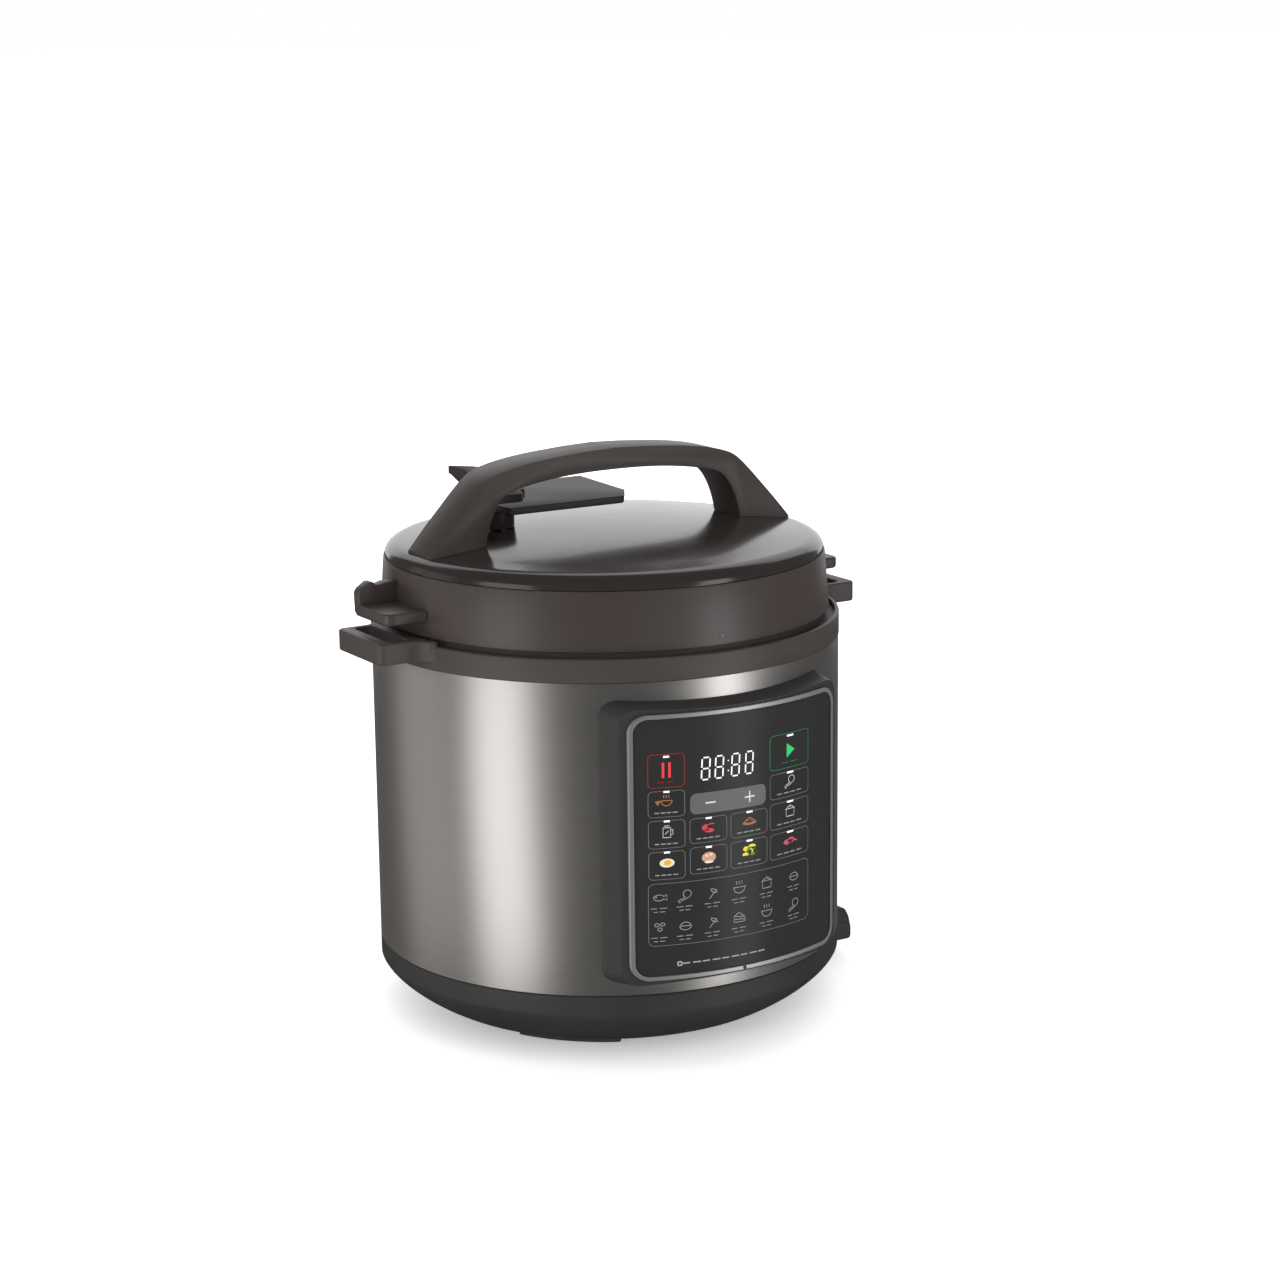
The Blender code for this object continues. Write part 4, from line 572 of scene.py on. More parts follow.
# ---------------------------------------------------------------- lid cover
# The shallow glossy dome on top, moulded in black and left unpainted.  It is polished enough
# to mirror the handle, and it turns down over the band with a tight shoulder.
cover_black = plastic("cover_black", (0.022, 0.017, 0.016), 0.12, size=180.0, depth=0.000002, dust=0.03,
                      coat=0.15)
COVER_R, SHOULDER_R, SHOULDER_Z, COVER_TOP = 0.1263, 0.1150, 0.2738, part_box("lid_dome")[1][2] + 0.0018
COVER_EDGE_Z, COVER_WALL = SKIRT_Z[1] + 0.0003, 0.0022


def cover_z(radius):
    """Height of the cover's crown at a distance from its middle."""
    return COVER_TOP - (COVER_TOP - SHOULDER_Z) * (radius / SHOULDER_R) ** 2


outer = [(SHOULDER_R * step / 10, cover_z(SHOULDER_R * step / 10)) for step in range(11)]
outer += [(SHOULDER_R + (COVER_R - SHOULDER_R) * math.sin(math.radians(turn)),
           COVER_EDGE_Z + (SHOULDER_Z - COVER_EDGE_Z) * math.cos(math.radians(turn)) ** 0.8)
          for turn in (12, 24, 36, 48, 60, 70, 80, 86)] + [(COVER_R, COVER_EDGE_Z)]
inner = [(r * (COVER_R - COVER_WALL) / COVER_R, z - COVER_WALL) for r, z in outer[:-3]]
cover = lathe("lid_cover", outer + [(COVER_R - COVER_WALL, COVER_EDGE_Z)] + inner[::-1])
LEVER_AT, FLOAT_AT = (-0.0580, 0.0270), (0.0120, 0.0850)
def drill(piece, radius, low, high, at, steps=48):
    """An upright round hole."""
    turned_cut(piece, lathe("drill", [(0, low), (radius, low), (radius, high), (0, high)], steps, at))


drill(cover, 0.0052, 0.25, 0.30, LEVER_AT)
drill(cover, 0.0038, 0.25, 0.30, FLOAT_AT)
soft_edges(cover, 0.0002, 2, 50)
stands_for(cover, "lid", "gloss_black_plastic", cover_black, "lid_dome")


# ---------------------------------------------------------------- carrying handle
# An arch moulded in satin black, with a flat crest and a crisp ridge along each side.  It is
# screwed on from inside the cover, and a separate lower shell closes the grip.
def smooth_line(points, steps=4):
    """A rounded line through points, with steps between each two."""
    line = [points[0]]
    for index in range(len(points) - 1):
        a = Vector(points[max(index - 1, 0)])
        b, c = Vector(points[index]), Vector(points[index + 1])
        d = Vector(points[min(index + 2, len(points) - 1)])
        for step in range(1, steps + 1):
            t = step / steps
            line.append(tuple(0.5 * ((2 * b) + (c - a) * t + (2 * a - 5 * b + 4 * c - d) * t * t
                                     + (3 * b - a - 3 * c + d) * t ** 3)))
    return line


def bevel_edges(piece, chosen, width, segments=2):
    """Bevel the edges whose two ends both pass a test."""
    pick(piece)
    bpy.ops.object.mode_set(mode="EDIT")
    bpy.ops.mesh.select_mode(type="EDGE")
    bpy.ops.mesh.select_all(action="DESELECT")
    bpy.ops.object.mode_set(mode="OBJECT")
    mesh = piece.data
    for edge in mesh.edges:
        edge.select = all(chosen(mesh.vertices[end].co) for end in edge.vertices)
    bpy.ops.object.mode_set(mode="EDIT")
    bpy.ops.mesh.bevel(offset=width, segments=segments, profile=0.5, clamp_overlap=True)
    bpy.ops.mesh.select_mode(type="VERT")
    bpy.ops.object.mode_set(mode="OBJECT")


handle_black = plastic("handle_black", (0.036, 0.025, 0.022), 0.36, depth=0.000015)
HANDLE_HALF_W = 0.0140
arch_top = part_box("lid_handle")[1][2]
half_outer = [(0.1190, 0.2640), (0.1190, 0.2745)] + smooth_line([
    (0.1187, 0.2750), (0.1088, 0.2864), (0.0990, 0.2970), (0.0906, 0.3059), (0.0825, 0.3134),
    (0.0750, 0.3172), (0.0620, 0.3204), (0.0440, 0.3229), (0.0190, 0.3248)], 3)
half_inner = smooth_line([(0.0200, 0.3146), (0.0400, 0.3128), (0.0560, 0.3094), (0.0670, 0.3066),
                          (0.0735, 0.3030), (0.0785, 0.2960), (0.0822, 0.2870), (0.0845, 0.2775)],
                         3) + [(0.0850, 0.2640)]
arch_outline = ([(-x, z) for x, z in half_outer] + [(0.0, arch_top)]
                + half_outer[::-1] + half_inner[::-1] + [(0.0, 0.3150)] + [(-x, z) for x, z in half_inner])
arch = slab("handle_arch", arch_outline, -HANDLE_HALF_W, HANDLE_HALF_W, upright=True)
outer_places = {(round(abs(x), 5), round(z, 5)) for x, z in half_outer[1:] + [(0.0, arch_top)]}
bevel_edges(arch, lambda co: abs(abs(co.y) - HANDLE_HALF_W) < 0.0001
            and (round(abs(co.x), 5), round(co.z, 5)) in outer_places, 0.0013, 2)
soft_edges(arch, 0.0005, 2, 40)
seat = lathe("handle_seat", [(r, z + 0.0001) for r, z in outer] + [(COVER_R, 0.2500), (0, 0.2500)], 96)
turned_cut(arch, seat)
stands_for(arch, "lid", "satin_black_plastic", handle_black, "lid_handle")

UNDER_Z, STRIP_HALF_L, STRIP_DROP, STRIP_T = 0.3130, 0.0660, 0.0062, 0.0029
shares = [step / 16 for step in range(-16, 17)]
under_line = [(STRIP_HALF_L * share, UNDER_Z - STRIP_DROP * abs(share) ** 2.4) for share in shares]
strip = slab("handle_lower_shell", under_line + [(x, z + STRIP_T) for x, z in reversed(under_line)],
             -HANDLE_HALF_W + 0.0008, HANDLE_HALF_W - 0.0008, upright=True)
soft_edges(strip, 0.0006, 2, 40)
stands_for(strip, "lid", "satin_black_plastic", handle_black, "handle_strip")
screw_steel = steel("screw_steel", (0.50, 0.50, 0.50), 0.32, lines_per_metre=4000.0)
finish_nodes(screw_steel, "lid_centre_screw", *(f"handle_screw_{index}" for index in range(1, 5)))


# ---------------------------------------------------------------- steam release
# A broad paddle on a hub over the steam pipe, with a raised hood at its left that ends in a
# lip behind the handle.  A steel weight inside closes the pipe.
lever_black = plastic("lever_black", (0.024, 0.018, 0.016), 0.40, depth=0.00001, specular=0.3)
paddle_left, paddle_right, PADDLE_BACK, PADDLE_T = -0.0630, 0.0240, 0.0630, 0.0042
PADDLE_TOP, PADDLE_RISE = 0.2945, 0.0030
paddle_outline = ([(paddle_left + 0.002, 0.0), (paddle_right - 0.0125, 0.0)]
                  + arc(paddle_right - 0.0125, 0.004, 0.004, -80, -40, 3)
                  + arc(paddle_right - 0.0028, 0.0165, 0.0025, -28, 6, 4)
                  + [(paddle_right - 0.0030, PADDLE_BACK), (paddle_left + 0.0070, PADDLE_BACK),
                     (paddle_left - 0.0010, 0.0120)])
lever = slab("release_lever", paddle_outline, PADDLE_TOP - PADDLE_T, PADDLE_TOP)
soft_edges(lever, 0.0007, 3, 50)
HOOD_TOP, HOOD_RISE, LIP_Y = PADDLE_TOP + 0.0044, 0.0082, 0.0746
hood_outline = [(paddle_left - 0.001, 0.0130), (-0.0470, 0.0130), (-0.0440, 0.0155), (-0.0430, 0.0210),
                (-0.0390, 0.0225), (-0.0370, 0.0300), (-0.0340, 0.0330), (-0.0330, 0.0460),
                (-0.0360, 0.0640), (-0.0480, 0.0700), (-0.0614, LIP_Y), (-0.0600, 0.0705),
                (paddle_left + 0.0075, 0.0640)]
hood = slab("lever_hood", hood_outline, PADDLE_TOP - 0.0010, HOOD_TOP)
for piece in (lever, hood):
    for vertex in piece.data.vertices:
        share = max(vertex.co.y, 0) / PADDLE_BACK
        lift = PADDLE_RISE * share
        if piece is hood and vertex.co.z > PADDLE_TOP + 0.001:
            lift += (HOOD_RISE - PADDLE_RISE) * share ** 2
        elif piece is hood and vertex.co.y > PADDLE_BACK + 0.005:
            lift += 0.0074
        vertex.co.z += lift
soft_edges(hood, 0.0007, 2, 40)
turned_cut(lever, hood, "UNION")
drill(lever, 0.0102, 0.270, 0.2910, LEVER_AT, 64)
hub = lathe("lever_hub", closed([(0.0102, 0.2804), (0.0125, 0.2804), (0.0125, 0.2930),
                                 (0.0102, 0.2930)]), 64, LEVER_AT)
soft_edges(hub, 0.0003, 2, 40)
stands_for(hub, "lever", "satin_black_plastic", lever_black)
soft_edges(lever, 0, 1, 30)
stands_for(lever, "lever", "satin_black_plastic", lever_black, "steam_release_lever")
lever.visible_glossy = False        # the cover mirrors the handle alone
finish_nodes(screw_steel, "valve_weight", "exhaust_pipe", "anti_block_shield", "float_valve")


# ---------------------------------------------------------------- inner lid and gasket
# A domed steel plate with six lugs at its edge, held by one screw in its middle.  The white
# silicone gasket sits on a wire rack inside the edge and seals against the pot's rim.
lid_steel = steel("lid_steel", (0.64, 0.64, 0.63), 0.22, lines_per_metre=1200.0)
silicone = plastic("silicone", (0.62, 0.61, 0.58), 0.48, size=900.0, depth=0.00001, dust=0.25)
INNER_R, INNER_RIM, INNER_RISE = 0.1182, 0.2330, 0.0130
lid_line = [(0.0045 + (0.1170 - 0.0045) * step / 8) for step in range(9)]
inner_top = [(r, INNER_RIM + INNER_RISE * (1 - (r / INNER_R) ** 2)) for r in lid_line]
inner_lid = lathe("inner_lid_plate", closed(
    inner_top + [(INNER_R, INNER_RIM - 0.0015), (INNER_R, 0.2240), (0.1170, 0.2240)]
    + [(r, z - 0.0012) for r, z in reversed(inner_top)]), 144)
for index in range(6):
    lug = block("lid_lug", (0.1176, -0.011, 0.2240), (0.1212, 0.011, 0.2258), math.tau * index / 6)
    turned_cut(inner_lid, lug, "UNION")
drill(inner_lid, 0.0048, 0.21, 0.26, LEVER_AT)
drill(inner_lid, 0.0038, 0.21, 0.26, FLOAT_AT)
soft_edges(inner_lid, 0.0003, 2, 40)
stands_for(inner_lid, "lid", "inner_steel", lid_steel, "inner_lid")

seal_low, seal_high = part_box("sealing_ring")[0][2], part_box("sealing_ring")[1][2]
seal_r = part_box("sealing_ring")[1][0]
gasket = lathe("gasket", closed(round_rect(seal_r - 0.00325, (seal_low + seal_high) / 2, 0.00325,
                                           (seal_high - seal_low) / 2, 0.0015, 4)), 144)
soft_edges(gasket, 0, 1, 30)
stands_for(gasket, "seal", "silicone", silicone, "sealing_ring")
finish_nodes(lid_steel, "sealing_ring_rack")
finish_nodes(silicone, "float_seal")
# ---------------------------------------------------------------- panel housing
# A moulded frame stands out from the drum and carries the control panel.  Its flanks flare
# back to the steel and its front follows the drum's curve.
housing_black = plastic("housing_black", (0.026, 0.025, 0.025), 0.38, depth=0.00001, specular=0.4)
PANEL_R, PANEL_HALF_W, PANEL_Z, PANEL_CORNER = 0.1500, 0.0665, (0.0540, 0.2025), 0.0100
panel_mid_z, panel_half_h = sum(PANEL_Z) / 2, (PANEL_Z[1] - PANEL_Z[0]) / 2


def panel_outline(grow):
    return round_rect(0, panel_mid_z, PANEL_HALF_W + grow, panel_half_h + grow, PANEL_CORNER + grow, 8)


def panel_shell(name, inner_r, outer_r, grow, hollow_grow=None, flare=0.0):
    """The panel's outline cut out of a curved shell, with a window if hollow_grow is given."""
    made = slab(name, panel_outline(grow), -0.170, -0.100, upright=True)
    if flare:
        for vertex in made.data.vertices:
            if vertex.co.y > -0.12:
                vertex.co.x *= 1 + flare / PANEL_HALF_W
                vertex.co.z = panel_mid_z + (vertex.co.z - panel_mid_z) * (1 + flare / panel_half_h)
    if hollow_grow is not None:
        turned_cut(made, slab(name + "_window", panel_outline(hollow_grow), -0.175, -0.095, upright=True))
    shell = lathe(name + "_shell", closed([(inner_r, 0.0415), (outer_r, 0.0415),
                                           (outer_r, 0.2165), (inner_r, 0.2165)]), 256)
    return turned_cut(made, shell, "INTERSECT")

housing = panel_shell("panel_frame", body_r + 0.0002, PANEL_R - 0.0010, -0.0015, -0.0040, 0.0095)
soft_edges(housing, 0.0018, 4, 55)
stands_for(housing, "base", "satin_black_plastic", housing_black, "panel_housing")


# ---------------------------------------------------------------- panel trim and glass
# A thin silver-painted frame goes round the edge of the panel, and a glossy printed sheet
# fills it.  The keys are areas of that sheet, with sensors behind.
trim_silver, tree, shader = new_material("trim_silver")
where = add_node(tree, "TexCoord", output="Object")
flakes = add_node(tree, "TexVoronoi", {"Scale": 5200.0, "Vector": where}, "Distance")
set_inputs(tree, shader, {
    "Metallic": 0.85, "Coat Weight": 0.2, "Roughness": maths(tree, "MULTIPLY_ADD", flakes, 0.2, 0.34),
    "Base Color": shades(tree, flakes, (0.44, 0.43, 0.42), (0.58, 0.57, 0.56)),
})
bezel = panel_shell("trim_frame", PANEL_R - 0.0008, PANEL_R + 0.0009, 0.0, -0.0024)
soft_edges(bezel, 0.0008, 3, 55)
stands_for(bezel, "base", "silver_trim", trim_silver, "panel_bezel")

panel_glass = plastic("panel_glass", (0.022, 0.022, 0.022), 0.22, size=120.0, depth=0.000002, dust=0.04,
                      specular=0.14)
glass = panel_shell("printed_sheet", PANEL_R - 0.0008, PANEL_R, -0.0025)
soft_edges(glass, 0, 1, 40)
stands_for(glass, "base", "printed_overlay", panel_glass, "panel_overlay")


# ---------------------------------------------------------------- prints on the panel
# Screen-printed key frames, pictures and captions.  The captions are only strokes that stand
# for words.  The white light bars and the clock's segments shine from behind the sheet.
def ink(name, tone, glow=0.0):
    """A printing ink, a little uneven where the screen laid it on."""
    made, tree, shader = new_material(name)
    where = add_node(tree, "TexCoord", output="Object")
    cloud = add_node(tree, "TexNoise", {"Scale": 900.0, "Vector": where})
    shade = shades(tree, cloud, [value * 0.78 for value in tone], tone)
    set_inputs(tree, shader, {"Roughness": 0.45, "Base Color": shade})
    if glow:
        set_inputs(tree, shader, {"Emission Color": shade, "Emission Strength": glow})
    return made


def short_steps(shape, longest=0.002):
    """Add points along the long stretches of a line, so that it can bend round the drum."""
    points = [shape[0]]
    for (x_0, z_0), (x_1, z_1) in zip(shape, shape[1:]):
        count = max(1, math.ceil(abs(x_1 - x_0) / longest))
        points += [(x_0 + (x_1 - x_0) * step / count, z_0 + (z_1 - z_0) * step / count)
                   for step in range(1, count)] + [(x_1, z_1)]
    return points


def printed(name, shapes, tone, width=None, glow=0.0, radius=None, body="base", slot="printed_overlay"):
    """Print lines of a width, or filled shapes, flat and then bend them round the drum."""
    radius = radius or PANEL_R
    flat = bpy.data.curves.new(name, "CURVE")
    flat.dimensions = "3D" if width else "2D"
    flat.fill_mode = "FULL" if width else "BOTH"
    if width:
        flat.bevel_depth = width / 2
        flat.bevel_resolution = 0
        flat.use_fill_caps = True
    else:
        flat.extrude = 0.00012
    for shape in shapes:
        line = flat.splines.new("POLY")
        is_loop = shape[0] == shape[-1] or not width
        shape = short_steps(shape)
        shape = shape[:-1] if shape[0] == shape[-1] else shape
        line.points.add(len(shape) - 1)
        for point, (across, up) in zip(line.points, shape):
            point.co = (across, up, 0, 1)
        line.use_cyclic_u = is_loop
    piece = bpy.data.objects.new(name, flat)
    bpy.context.scene.collection.objects.link(piece)
    pick(piece)
    bpy.ops.object.convert(target="MESH")
    piece = bpy.context.object
    for vertex in piece.data.vertices:
        across, up, depth = vertex.co
        out = radius + 0.00005 + depth * (0.22 if width else 0.8)
        vertex.co = (out * math.sin(across / radius), -out * math.cos(across / radius), up)
    bpy.ops.object.mode_set(mode="EDIT")
    bpy.ops.mesh.select_all(action="SELECT")
    bpy.ops.mesh.remove_doubles(threshold=0.000002)
    bpy.ops.mesh.normals_make_consistent(inside=False)
    bpy.ops.object.mode_set(mode="OBJECT")
    return stands_for(piece, body, slot, ink(name + "_ink", tone, glow))


def frame_line(left, right, low, high, radius=0.0022):
    return closed(round_rect((left + right) / 2, (low + high) / 2, (right - left) / 2,
                             (high - low) / 2, radius, 3))


def caption(x, z, width, words=3):
    """Short strokes in place of words."""
    shapes, at = [], x - width / 2
    for word in range(words):
        length = width / words * (0.82 if word % 2 else 0.74)
        shapes.append([(at, z), (at + length, z)])
        at += width / words
    return shapes


def bar(x, z, half_w, half_h):
    return [(x - half_w, z - half_h), (x + half_w, z - half_h), (x + half_w, z + half_h),
            (x - half_w, z + half_h)]


MM = 0.001
WHITE, GREY = (0.80, 0.80, 0.80), (0.16, 0.16, 0.16)
columns = {"left": (-58.0 * MM, -37.8 * MM), "mid_left": (-34.9 * MM, -13.3 * MM),
           "mid_right": (-10.8 * MM, 12.8 * MM), "right": (15.0 * MM, 44.6 * MM)}
keys = {
    "warm": ("left", 145.8, 160.2), "cooker": ("left", 128.4, 143.8), "egg": ("left", 111.0, 126.4),
    "meat": ("mid_left", 129.6, 143.4), "grain": ("mid_left", 112.4, 127.2),
    "rice": ("mid_right", 129.6, 143.4), "greens": ("mid_right", 112.4, 127.2),
    "sear": ("right", 146.8, 160.8), "slow": ("right", 129.6, 144.2), "soup": ("right", 112.6, 127.0),
}
middle = {}
key_lines, light_bars, key_words = [], [], []
for name, (column, low, high) in keys.items():
    left, right = columns[column]
    low, high = low * MM, high * MM
    middle[name] = ((left + right) / 2, (low + high) / 2)
    key_lines.append(frame_line(left, right, low, high))
    light_bars.append(bar((left + right) / 2, high - 0.0004, (right - left) * 0.08, 0.0005))
    key_words += caption((left + right) / 2, low + 0.0024, (right - left) * 0.66, 4)
printed("key_outlines", key_lines, GREY, 0.00045)
cancel_box = (columns["left"], 162.2 * MM, 180.6 * MM)
start_box = (columns["right"], 163.2 * MM, 182.6 * MM)
for (left, right), low, high in (cancel_box, start_box):
    light_bars.append(bar((left + right) / 2, high - 0.0014, (right - left) * 0.08, 0.0005))
printed("light_bars", light_bars, (1.0, 1.0, 1.0), glow=0.35)
printed("key_captions", key_words, (0.34, 0.34, 0.34), 0.00075)

RED, GREEN = (0.28, 0.018, 0.018), (0.012, 0.20, 0.060)
(left, right), low, high = cancel_box
centre = (left + right) / 2
printed("cancel_print", [frame_line(left, right, low, high)]
        + caption(centre, low + 0.0030, 0.0100, 2), RED, 0.00060)
printed("cancel_bars", [bar(centre + side * 0.0018, low + 0.0096, 0.0007, 0.0042) for side in (-1, 1)],
        (0.72, 0.03, 0.03), glow=0.25)
(left, right), low, high = start_box
centre = (left + right) / 2
printed("start_print", [frame_line(left, right, low, high)]
        + caption(centre, low + 0.0032, 0.0130, 2), GREEN, 0.00060)
printed("start_arrow", [[(centre - 0.0026, low + 0.0058), (centre + 0.0034, low + 0.0098),
                         (centre - 0.0026, low + 0.0138)]], (0.02, 0.50, 0.14), glow=0.25)

# The minus and plus keys share one grey bar.
pill_left, pill_right, pill_z = -34.8 * MM, 11.9 * MM, 151.6 * MM
level_bar = slab("level_bar", [(PANEL_R * math.sin(x / PANEL_R), z) for x, z in short_steps(closed(
    round_rect((pill_left + pill_right) / 2, pill_z, (pill_right - pill_left) / 2, 0.0058, 0.0034)))[:-1]],
    -0.160, -0.140, upright=True)
turned_cut(level_bar, lathe("level_bar_shell", closed([
    (PANEL_R + 0.00003, 0.13), (PANEL_R + 0.00013, 0.13), (PANEL_R + 0.00013, 0.17),
    (PANEL_R + 0.00003, 0.17)]), 256), "INTERSECT")
soft_edges(level_bar, 0, 1, 40)
stands_for(level_bar, "base", "printed_overlay", ink("level_bar_ink", (0.115, 0.115, 0.118)))
printed("level_signs", [[(pill_left + 0.0088, pill_z), (pill_left + 0.0148, pill_z)],
                        [(pill_right - 0.0140, pill_z), (pill_right - 0.0076, pill_z)],
                        [(pill_right - 0.0108, pill_z - 0.0032), (pill_right - 0.0108, pill_z + 0.0032)]],
        WHITE, 0.0010, radius=PANEL_R + 0.00012)

# Seven-segment digits that glow white, leaning a little to the right.
DIGIT_W, DIGIT_H, SLANT, DIGIT_GAP = 0.0046, 0.0122, 0.05, 0.0007
DIGIT_LOW = 164.6 * MM
digits = []
for x in (-28.2 * MM, -20.2 * MM, -10.3 * MM, -1.6 * MM):
    ends = [((0, up), (1, up)) for up in (0, 0.5, 1)]
    ends += [((across, up), (across, up + 0.5)) for across in (0, 1) for up in (0, 0.5)]
    for (x_0, z_0), (x_1, z_1) in ends:
        start = Vector((x + x_0 * DIGIT_W, DIGIT_LOW + z_0 * DIGIT_H))
        end = Vector((x + x_1 * DIGIT_W, DIGIT_LOW + z_1 * DIGIT_H))
        inward = (end - start).normalized() * DIGIT_GAP
        digits.append([(point.x + SLANT * (point.y - DIGIT_LOW), point.y)
                       for point in (start + inward, end - inward)])
for z in (168.0 * MM, 173.6 * MM):
    digits.append([(-12.2 * MM, z - 0.0003), (-12.2 * MM, z + 0.0003)])
printed("clock_digits", digits, (0.95, 0.95, 0.93), 0.00085, glow=0.45)

# Line pictures, each drawn in a square from -1 to 1: pot, jar, fish, leg, bowl, leaf and so on.
def ring_line(x, y, rx, ry, start=0, end=360, steps=12):
    turns = [math.radians(start + (end - start) * step / steps) for step in range(steps + 1)]
    return [(x + rx * math.cos(turn), y + ry * math.sin(turn)) for turn in turns]


steam = [[(x + 0.12 * math.sin(z * 6), z) for z in (0.55, 0.7, 0.85, 1.0)] for x in (-0.35, 0.05, 0.45)]
pictures = {
    "pot": [closed([(-0.7, -0.7), (0.7, -0.7), (0.75, 0.3), (-0.75, 0.3)]), [(-0.9, 0.3), (0.9, 0.3)],
            ring_line(0, 0.3, 0.6, 0.35, 180, 0, 8), [(0, 0.65), (0, 0.85)]],
    "jar": [closed([(-0.5, -0.8), (0.5, -0.8), (0.5, 0.5), (-0.5, 0.5)]), [(-0.35, 0.75), (0.35, 0.75)],
            [(-0.25, -0.35), (0.25, 0.1)], [(0.5, 0.2), (0.8, 0.2), (0.8, -0.4), (0.5, -0.4)]],
    "fish": [ring_line(-0.1, 0, 0.7, 0.4, 20, 340, 12),
             [(0.55, 0.14), (0.95, 0.4), (0.95, -0.4), (0.55, -0.14)],
             ring_line(-0.45, 0.1, 0.08, 0.08, 0, 360, 5)],
    "leg": [ring_line(0.25, 0.25, 0.55, 0.5, -60, 240, 10), [(0.5, -0.2), (-0.55, -0.7)],
            [(0.0, -0.2), (-0.75, -0.5)], ring_line(-0.75, -0.7, 0.18, 0.18, 60, 320, 6)],
    "bowl": [ring_line(0, 0.15, 0.85, 0.8, 180, 360, 10), [(-0.95, 0.15), (0.95, 0.15)]] + steam,
    "leaf": [ring_line(-0.3, -0.1, 0.9, 0.6, 0, 90, 6), ring_line(0.6, 0.5, 0.9, 0.6, 180, 270, 6),
             [(-0.5, -0.8), (0.5, 0.4)]],
    "cake": [closed([(-0.8, -0.6), (0.8, -0.6), (0.8, 0.0), (-0.8, 0.2)]), [(-0.8, -0.2), (0.8, -0.3)],
             [(-0.8, 0.2), (-0.1, 0.7), (0.8, 0.0)]],
    "beans": [ring_line(x, y, 0.3, 0.22, 0, 360, 8) for x, y in ((-0.4, 0.3), (0.35, 0.35), (0, -0.3))],
    "rice": [ring_line(0, -0.1, 0.8, 0.55, 180, 360, 8), ring_line(0, -0.1, 0.7, 0.5, 0, 180, 8),
             [(-0.85, -0.1), (0.85, -0.1)]],
}


def picture(name, x, z, half):
    return [[(x + a * half, z + b * half) for a, b in line] for line in pictures[name]]


# The guide at the bottom: a framed table of twelve pictures in two rows.
guide_left, guide_right, guide_z = -58.4 * MM, 44.6 * MM, (73.6 * MM, 108.6 * MM)
guide_lines = [frame_line(guide_left, guide_right, *guide_z, 0.0030)]
guide_words = []
guide_columns = (-52.2, -37.8, -21.8, -5.6, 12.6, 32.8)
rows = ((99.4, ("fish", "leg", "leaf", "bowl", "pot", "rice")),
        (82.8, ("beans", "rice", "leaf", "cake", "bowl", "leg")))
for row_z, names in rows:
    for x, name in zip(guide_columns, names):
        guide_words += picture(name, x * MM, (row_z + 1.4) * MM, 0.0042)
        guide_words += caption(x * MM, (row_z - 4.6) * MM, 0.0100, 2)
        guide_words += caption(x * MM, (row_z - 6.6) * MM, 0.0070, 2)
printed("guide_frame", guide_lines, GREY, 0.00045)
printed("guide_pictures", guide_words, (0.36, 0.36, 0.36), 0.00046)
printed("foot_captions", caption(-13.6 * MM, 62.6 * MM, 0.052, 9) + [frame_line(-42.4 * MM, -40.2 * MM,
        61.6 * MM, 63.6 * MM, 0.0004)], (0.42, 0.42, 0.42), 0.00085)

printed("trim_dot", [arc(-2.8 * MM, 55.3 * MM, 0.0011, 0, 330, 11)], (0.02, 0.02, 0.02),
        radius=PANEL_R + 0.0009, slot="silver_trim")

# Line pictures on four keys, and small colour pictures of food on the others.
white_pictures = []
for key, name in (("cooker", "jar"), ("sear", "leg"), ("slow", "pot")):
    x, z = middle[key]
    white_pictures += picture(name, x, z + 0.0016, 0.0042)
printed("key_pictures", white_pictures, (0.62, 0.62, 0.62), 0.00050)
x, z = middle["warm"]
printed("warm_picture", picture("bowl", x, z + 0.0014, 0.0036)
        + picture("beans", x - 0.0048, z + 0.0008, 0.0018),
        (0.52, 0.20, 0.06), 0.00050)


def blobs(key, places):
    """Filled rounded patches on a key, from (across, up, half width, half height) in mm."""
    x, z = middle[key]
    return [ring_line(x + a * MM, z + (b + 1.0) * MM, rx * MM, ry * MM, 0, 330, 11)
            for a, b, rx, ry in places]


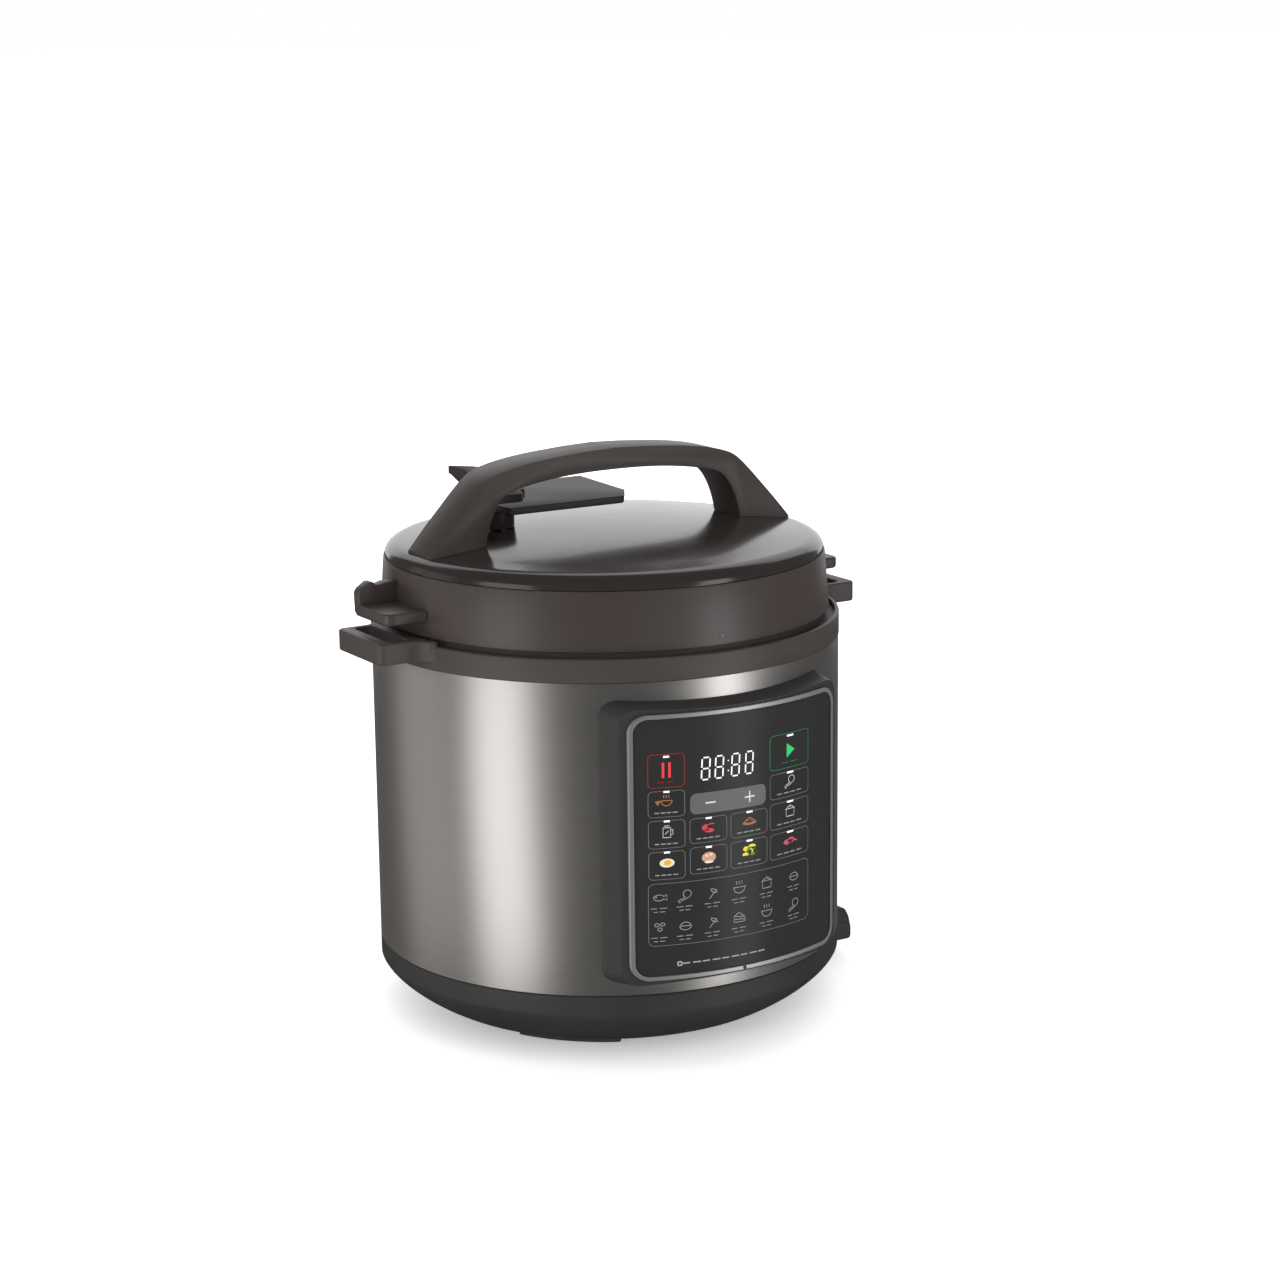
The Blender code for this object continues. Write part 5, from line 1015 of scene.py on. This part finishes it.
ON_TOP = 0.0001         # a second ink lies on the first
for name, key, lift, tone, places in (
        ("meat_picture", "meat", 0, (0.62, 0.035, 0.040),
         [(-1.5, 0.3, 2.6, 1.9), (1.6, 0.9, 2.6, 1.7), (0.4, -1.4, 2.8, 1.2)]),
        ("soup_picture", "soup", 0, (0.50, 0.08, 0.15),
         [(-2.6, 0.2, 2.4, 1.5), (0.6, 1.0, 2.6, 1.6), (3.4, -0.4, 2.2, 1.4)]),
        ("rice_picture", "rice", 0, (0.34, 0.135, 0.055),
         [(0, -0.6, 4.6, 1.3), (0, 0.6, 3.0, 1.2), (0, 1.6, 1.5, 0.8)]),
        ("grain_picture", "grain", 0, (0.60, 0.33, 0.20), [(0, 0.2, 4.2, 3.0)]),
        ("grain_bowl", "grain", ON_TOP, (0.85, 0.75, 0.62),
         [(0, -2.4, 2.6, 0.7), (-1.4, 1.2, 0.9, 0.6), (1.2, 1.6, 1.0, 0.6)]),
        ("greens_picture", "greens", 0, (0.78, 0.68, 0.02),
         [(-2.4, 1.6, 1.8, 1.4), (1.6, 2.2, 2.6, 1.7), (0.2, -0.2, 2.2, 2.0), (3.0, -0.6, 1.8, 1.4),
          (-2.6, -1.6, 2.0, 1.2)]),
        ("greens_shade", "greens", ON_TOP, (0.12, 0.22, 0.02),
         [(-0.6, 1.0, 1.2, 0.8), (1.8, -1.8, 1.6, 0.8)]),
        ("egg_white", "egg", 0, (0.82, 0.76, 0.55), [(0, 0.4, 4.2, 2.5)]),
        ("egg_yolk", "egg", ON_TOP, (0.85, 0.42, 0.03), [(0.2, 0.5, 2.0, 1.5)])):
    printed(name, blobs(key, places), tone, radius=PANEL_R + lift)

# ---------------------------------------------------------------- marks on ring and band
# A pointer moulded on the lid band stands over two padlocks and an arrow on the ring, which
# show which way the lid turns to lock.  They are low relief, a shade paler than the plastic.
MARK_TONE = (0.115, 0.105, 0.100)


def padlock(x, z, is_open):
    shift = 0.0012 if is_open else 0.0
    return [frame_line(x - 0.0013, x + 0.0013, z - 0.0011, z + 0.0007, 0.0003),
            [(x + shift + a, z + 0.0007 + b) for a, b in arc(0, 0, 0.0009, 0, 180, 5)]]


printed("ring_marks", padlock(-0.0045, 0.2234, False) + padlock(0.0490, 0.2240, True)
        + [[(0.0005, 0.2232), (0.0440, 0.2238)], [(0.0022, 0.2242), (0.0005, 0.2232), (0.0022, 0.2222)]],
        MARK_TONE, 0.00036, radius=RING_R, slot="satin_black_plastic")
printed("band_pointer", [[(-0.0045, 0.2384), (-0.0009, 0.2384), (-0.0027, 0.2354)]],
        MARK_TONE, radius=0.1293, body="lid", slot="satin_black_plastic")


# ---------------------------------------------------------------- power inlet
# A block moulded in two halves stands at the foot of the drum and holds the socket, with
# three brass pins, for a cord that plugs in.  A fine seam runs round where the halves meet.
inlet_black = plastic("inlet_black", (0.020, 0.020, 0.020), 0.45, depth=0.00002, specular=0.4)
INLET_REACH, INLET_HALF_W, INLET_Z = 0.1550, 0.0310, (0.0100, 0.0305)
inlet = slab("inlet_block", [
    (0.1200, INLET_Z[0]), (INLET_REACH, INLET_Z[0]), (INLET_REACH, INLET_Z[0] + 0.0070),
    (INLET_REACH - 0.0017, INLET_Z[1] - 0.0060), (INLET_REACH - 0.0052, INLET_Z[1]),
    (0.1200, INLET_Z[1])], -INLET_HALF_W, INLET_HALF_W, upright=True)
bevel_edges(inlet, lambda co: abs(abs(co.y) - INLET_HALF_W) < 0.0001 and co.x > 0.149, 0.0040, 4)
soft_edges(inlet, 0.0008, 2, 40)
seam = block("seam", (0.118, -0.034, 0.0210), (0.158, 0.034, 0.0213))
turned_cut(seam, block("seam_core", (0.117, -INLET_HALF_W + 0.0003, 0.020),
                       (INLET_REACH - 0.0022, INLET_HALF_W - 0.0003, 0.022)))
turned_cut(inlet, seam)
turned_cut(inlet, lathe("inlet_clear", [(0, 0.0340), (body_r + 0.0003, 0.0340)]
                        + [(r + 0.0003, z) for r, z in side] + [(0, foot_z)]))
socket_low, socket_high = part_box("inlet_socket")
turned_cut(inlet, block("inlet_well", (0.100, socket_low[1] - 0.0003, socket_low[2] - 0.0003),
                        (0.170, socket_high[1] + 0.0003, socket_high[2] + 0.0003)))
soft_edges(inlet, 0, 1, 35)
stands_for(inlet, "base", "satin_black_plastic", inlet_black, "inlet_housing")
finish_nodes(inlet_black, "inlet_socket")
brass = steel("brass", (0.62, 0.44, 0.18), 0.25, lines_per_metre=3000.0)
finish_nodes(brass, "inlet_pin_line", "inlet_pin_neutral", "inlet_pin_earth")


# ---------------------------------------------------------------- water cup at the back
# A smoked clear cup hangs on a moulded rail behind the drum and catches drops from the
# collar.  It pulls straight off to be emptied.
smoked = plastic("smoked_clear", (0.10, 0.095, 0.09), 0.08, size=90.0, depth=0.000002, dust=0.05)
smoked.node_tree.nodes["Principled BSDF"].inputs["Transmission Weight"].default_value = 0.55
cup_low, cup_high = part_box("condensation_cup")
CUP_WALL = 0.0016
cup = slab("water_cup", round_rect(0, (cup_low[1] + cup_high[1]) / 2, cup_high[0],
                                   (cup_high[1] - cup_low[1]) / 2, 0.0040), cup_low[2], cup_high[2])
bevel_edges(cup, lambda co: co.z < cup_low[2] + 0.0001, 0.0022, 3)
turned_cut(cup, slab("cup_hollow", round_rect(
    0, (cup_low[1] + cup_high[1]) / 2, cup_high[0] - CUP_WALL,
    (cup_high[1] - cup_low[1]) / 2 - CUP_WALL, 0.0024), cup_low[2] + CUP_WALL, cup_high[2] + 0.01))
soft_edges(cup, 0.0003, 2, 50)
stands_for(cup, "cup", "smoked_plastic", smoked, "condensation_cup")
rail_low, rail_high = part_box("cup_bracket")
rail = slab("cup_rail", round_rect(0, (rail_low[2] + rail_high[2]) / 2, rail_high[0],
                                   (rail_high[2] - rail_low[2]) / 2, 0.0020), 0.1200, rail_high[1],
            upright=True)
turned_cut(rail, lathe("rail_clear", [(0, 0.15), (body_r + 0.0002, 0.15), (body_r + 0.0002, 0.22),
                                      (0, 0.22)]))
soft_edges(rail, 0.0006, 2, 50)
stands_for(rail, "base", "satin_black_plastic", base_black, "cup_bracket")


# ---------------------------------------------------------------- parts inside the casing
# Circuit boards, the heater's terminals, a thermal fuse, a pressure switch and the sensor's
# spring sit between the casing and the drum.  They are bought in and screwed or clipped.
board_green, tree, shader = new_material("board_green")
tracks = add_node(tree, "TexBrick", {
    "Color1": (0.010, 0.085, 0.035, 1), "Color2": (0.014, 0.110, 0.045, 1),
    "Mortar": (0.060, 0.160, 0.050, 1), "Scale": 120.0, "Mortar Size": 0.03,
    "Vector": add_node(tree, "TexCoord", output="Object")}, "Color")
set_inputs(tree, shader, {"Roughness": 0.4, "Base Color": tracks})
finish_nodes(board_green, "control_board", "power_board")
white_nylon = plastic("white_nylon", (0.60, 0.59, 0.56), 0.45, size=800.0)
finish_nodes(white_nylon, "display_module", "thermal_fuse", "pressure_switch")
finish_nodes(screw_steel, "heater_terminal_1", "heater_terminal_2", "sensor_bracket", "sensor_spring")
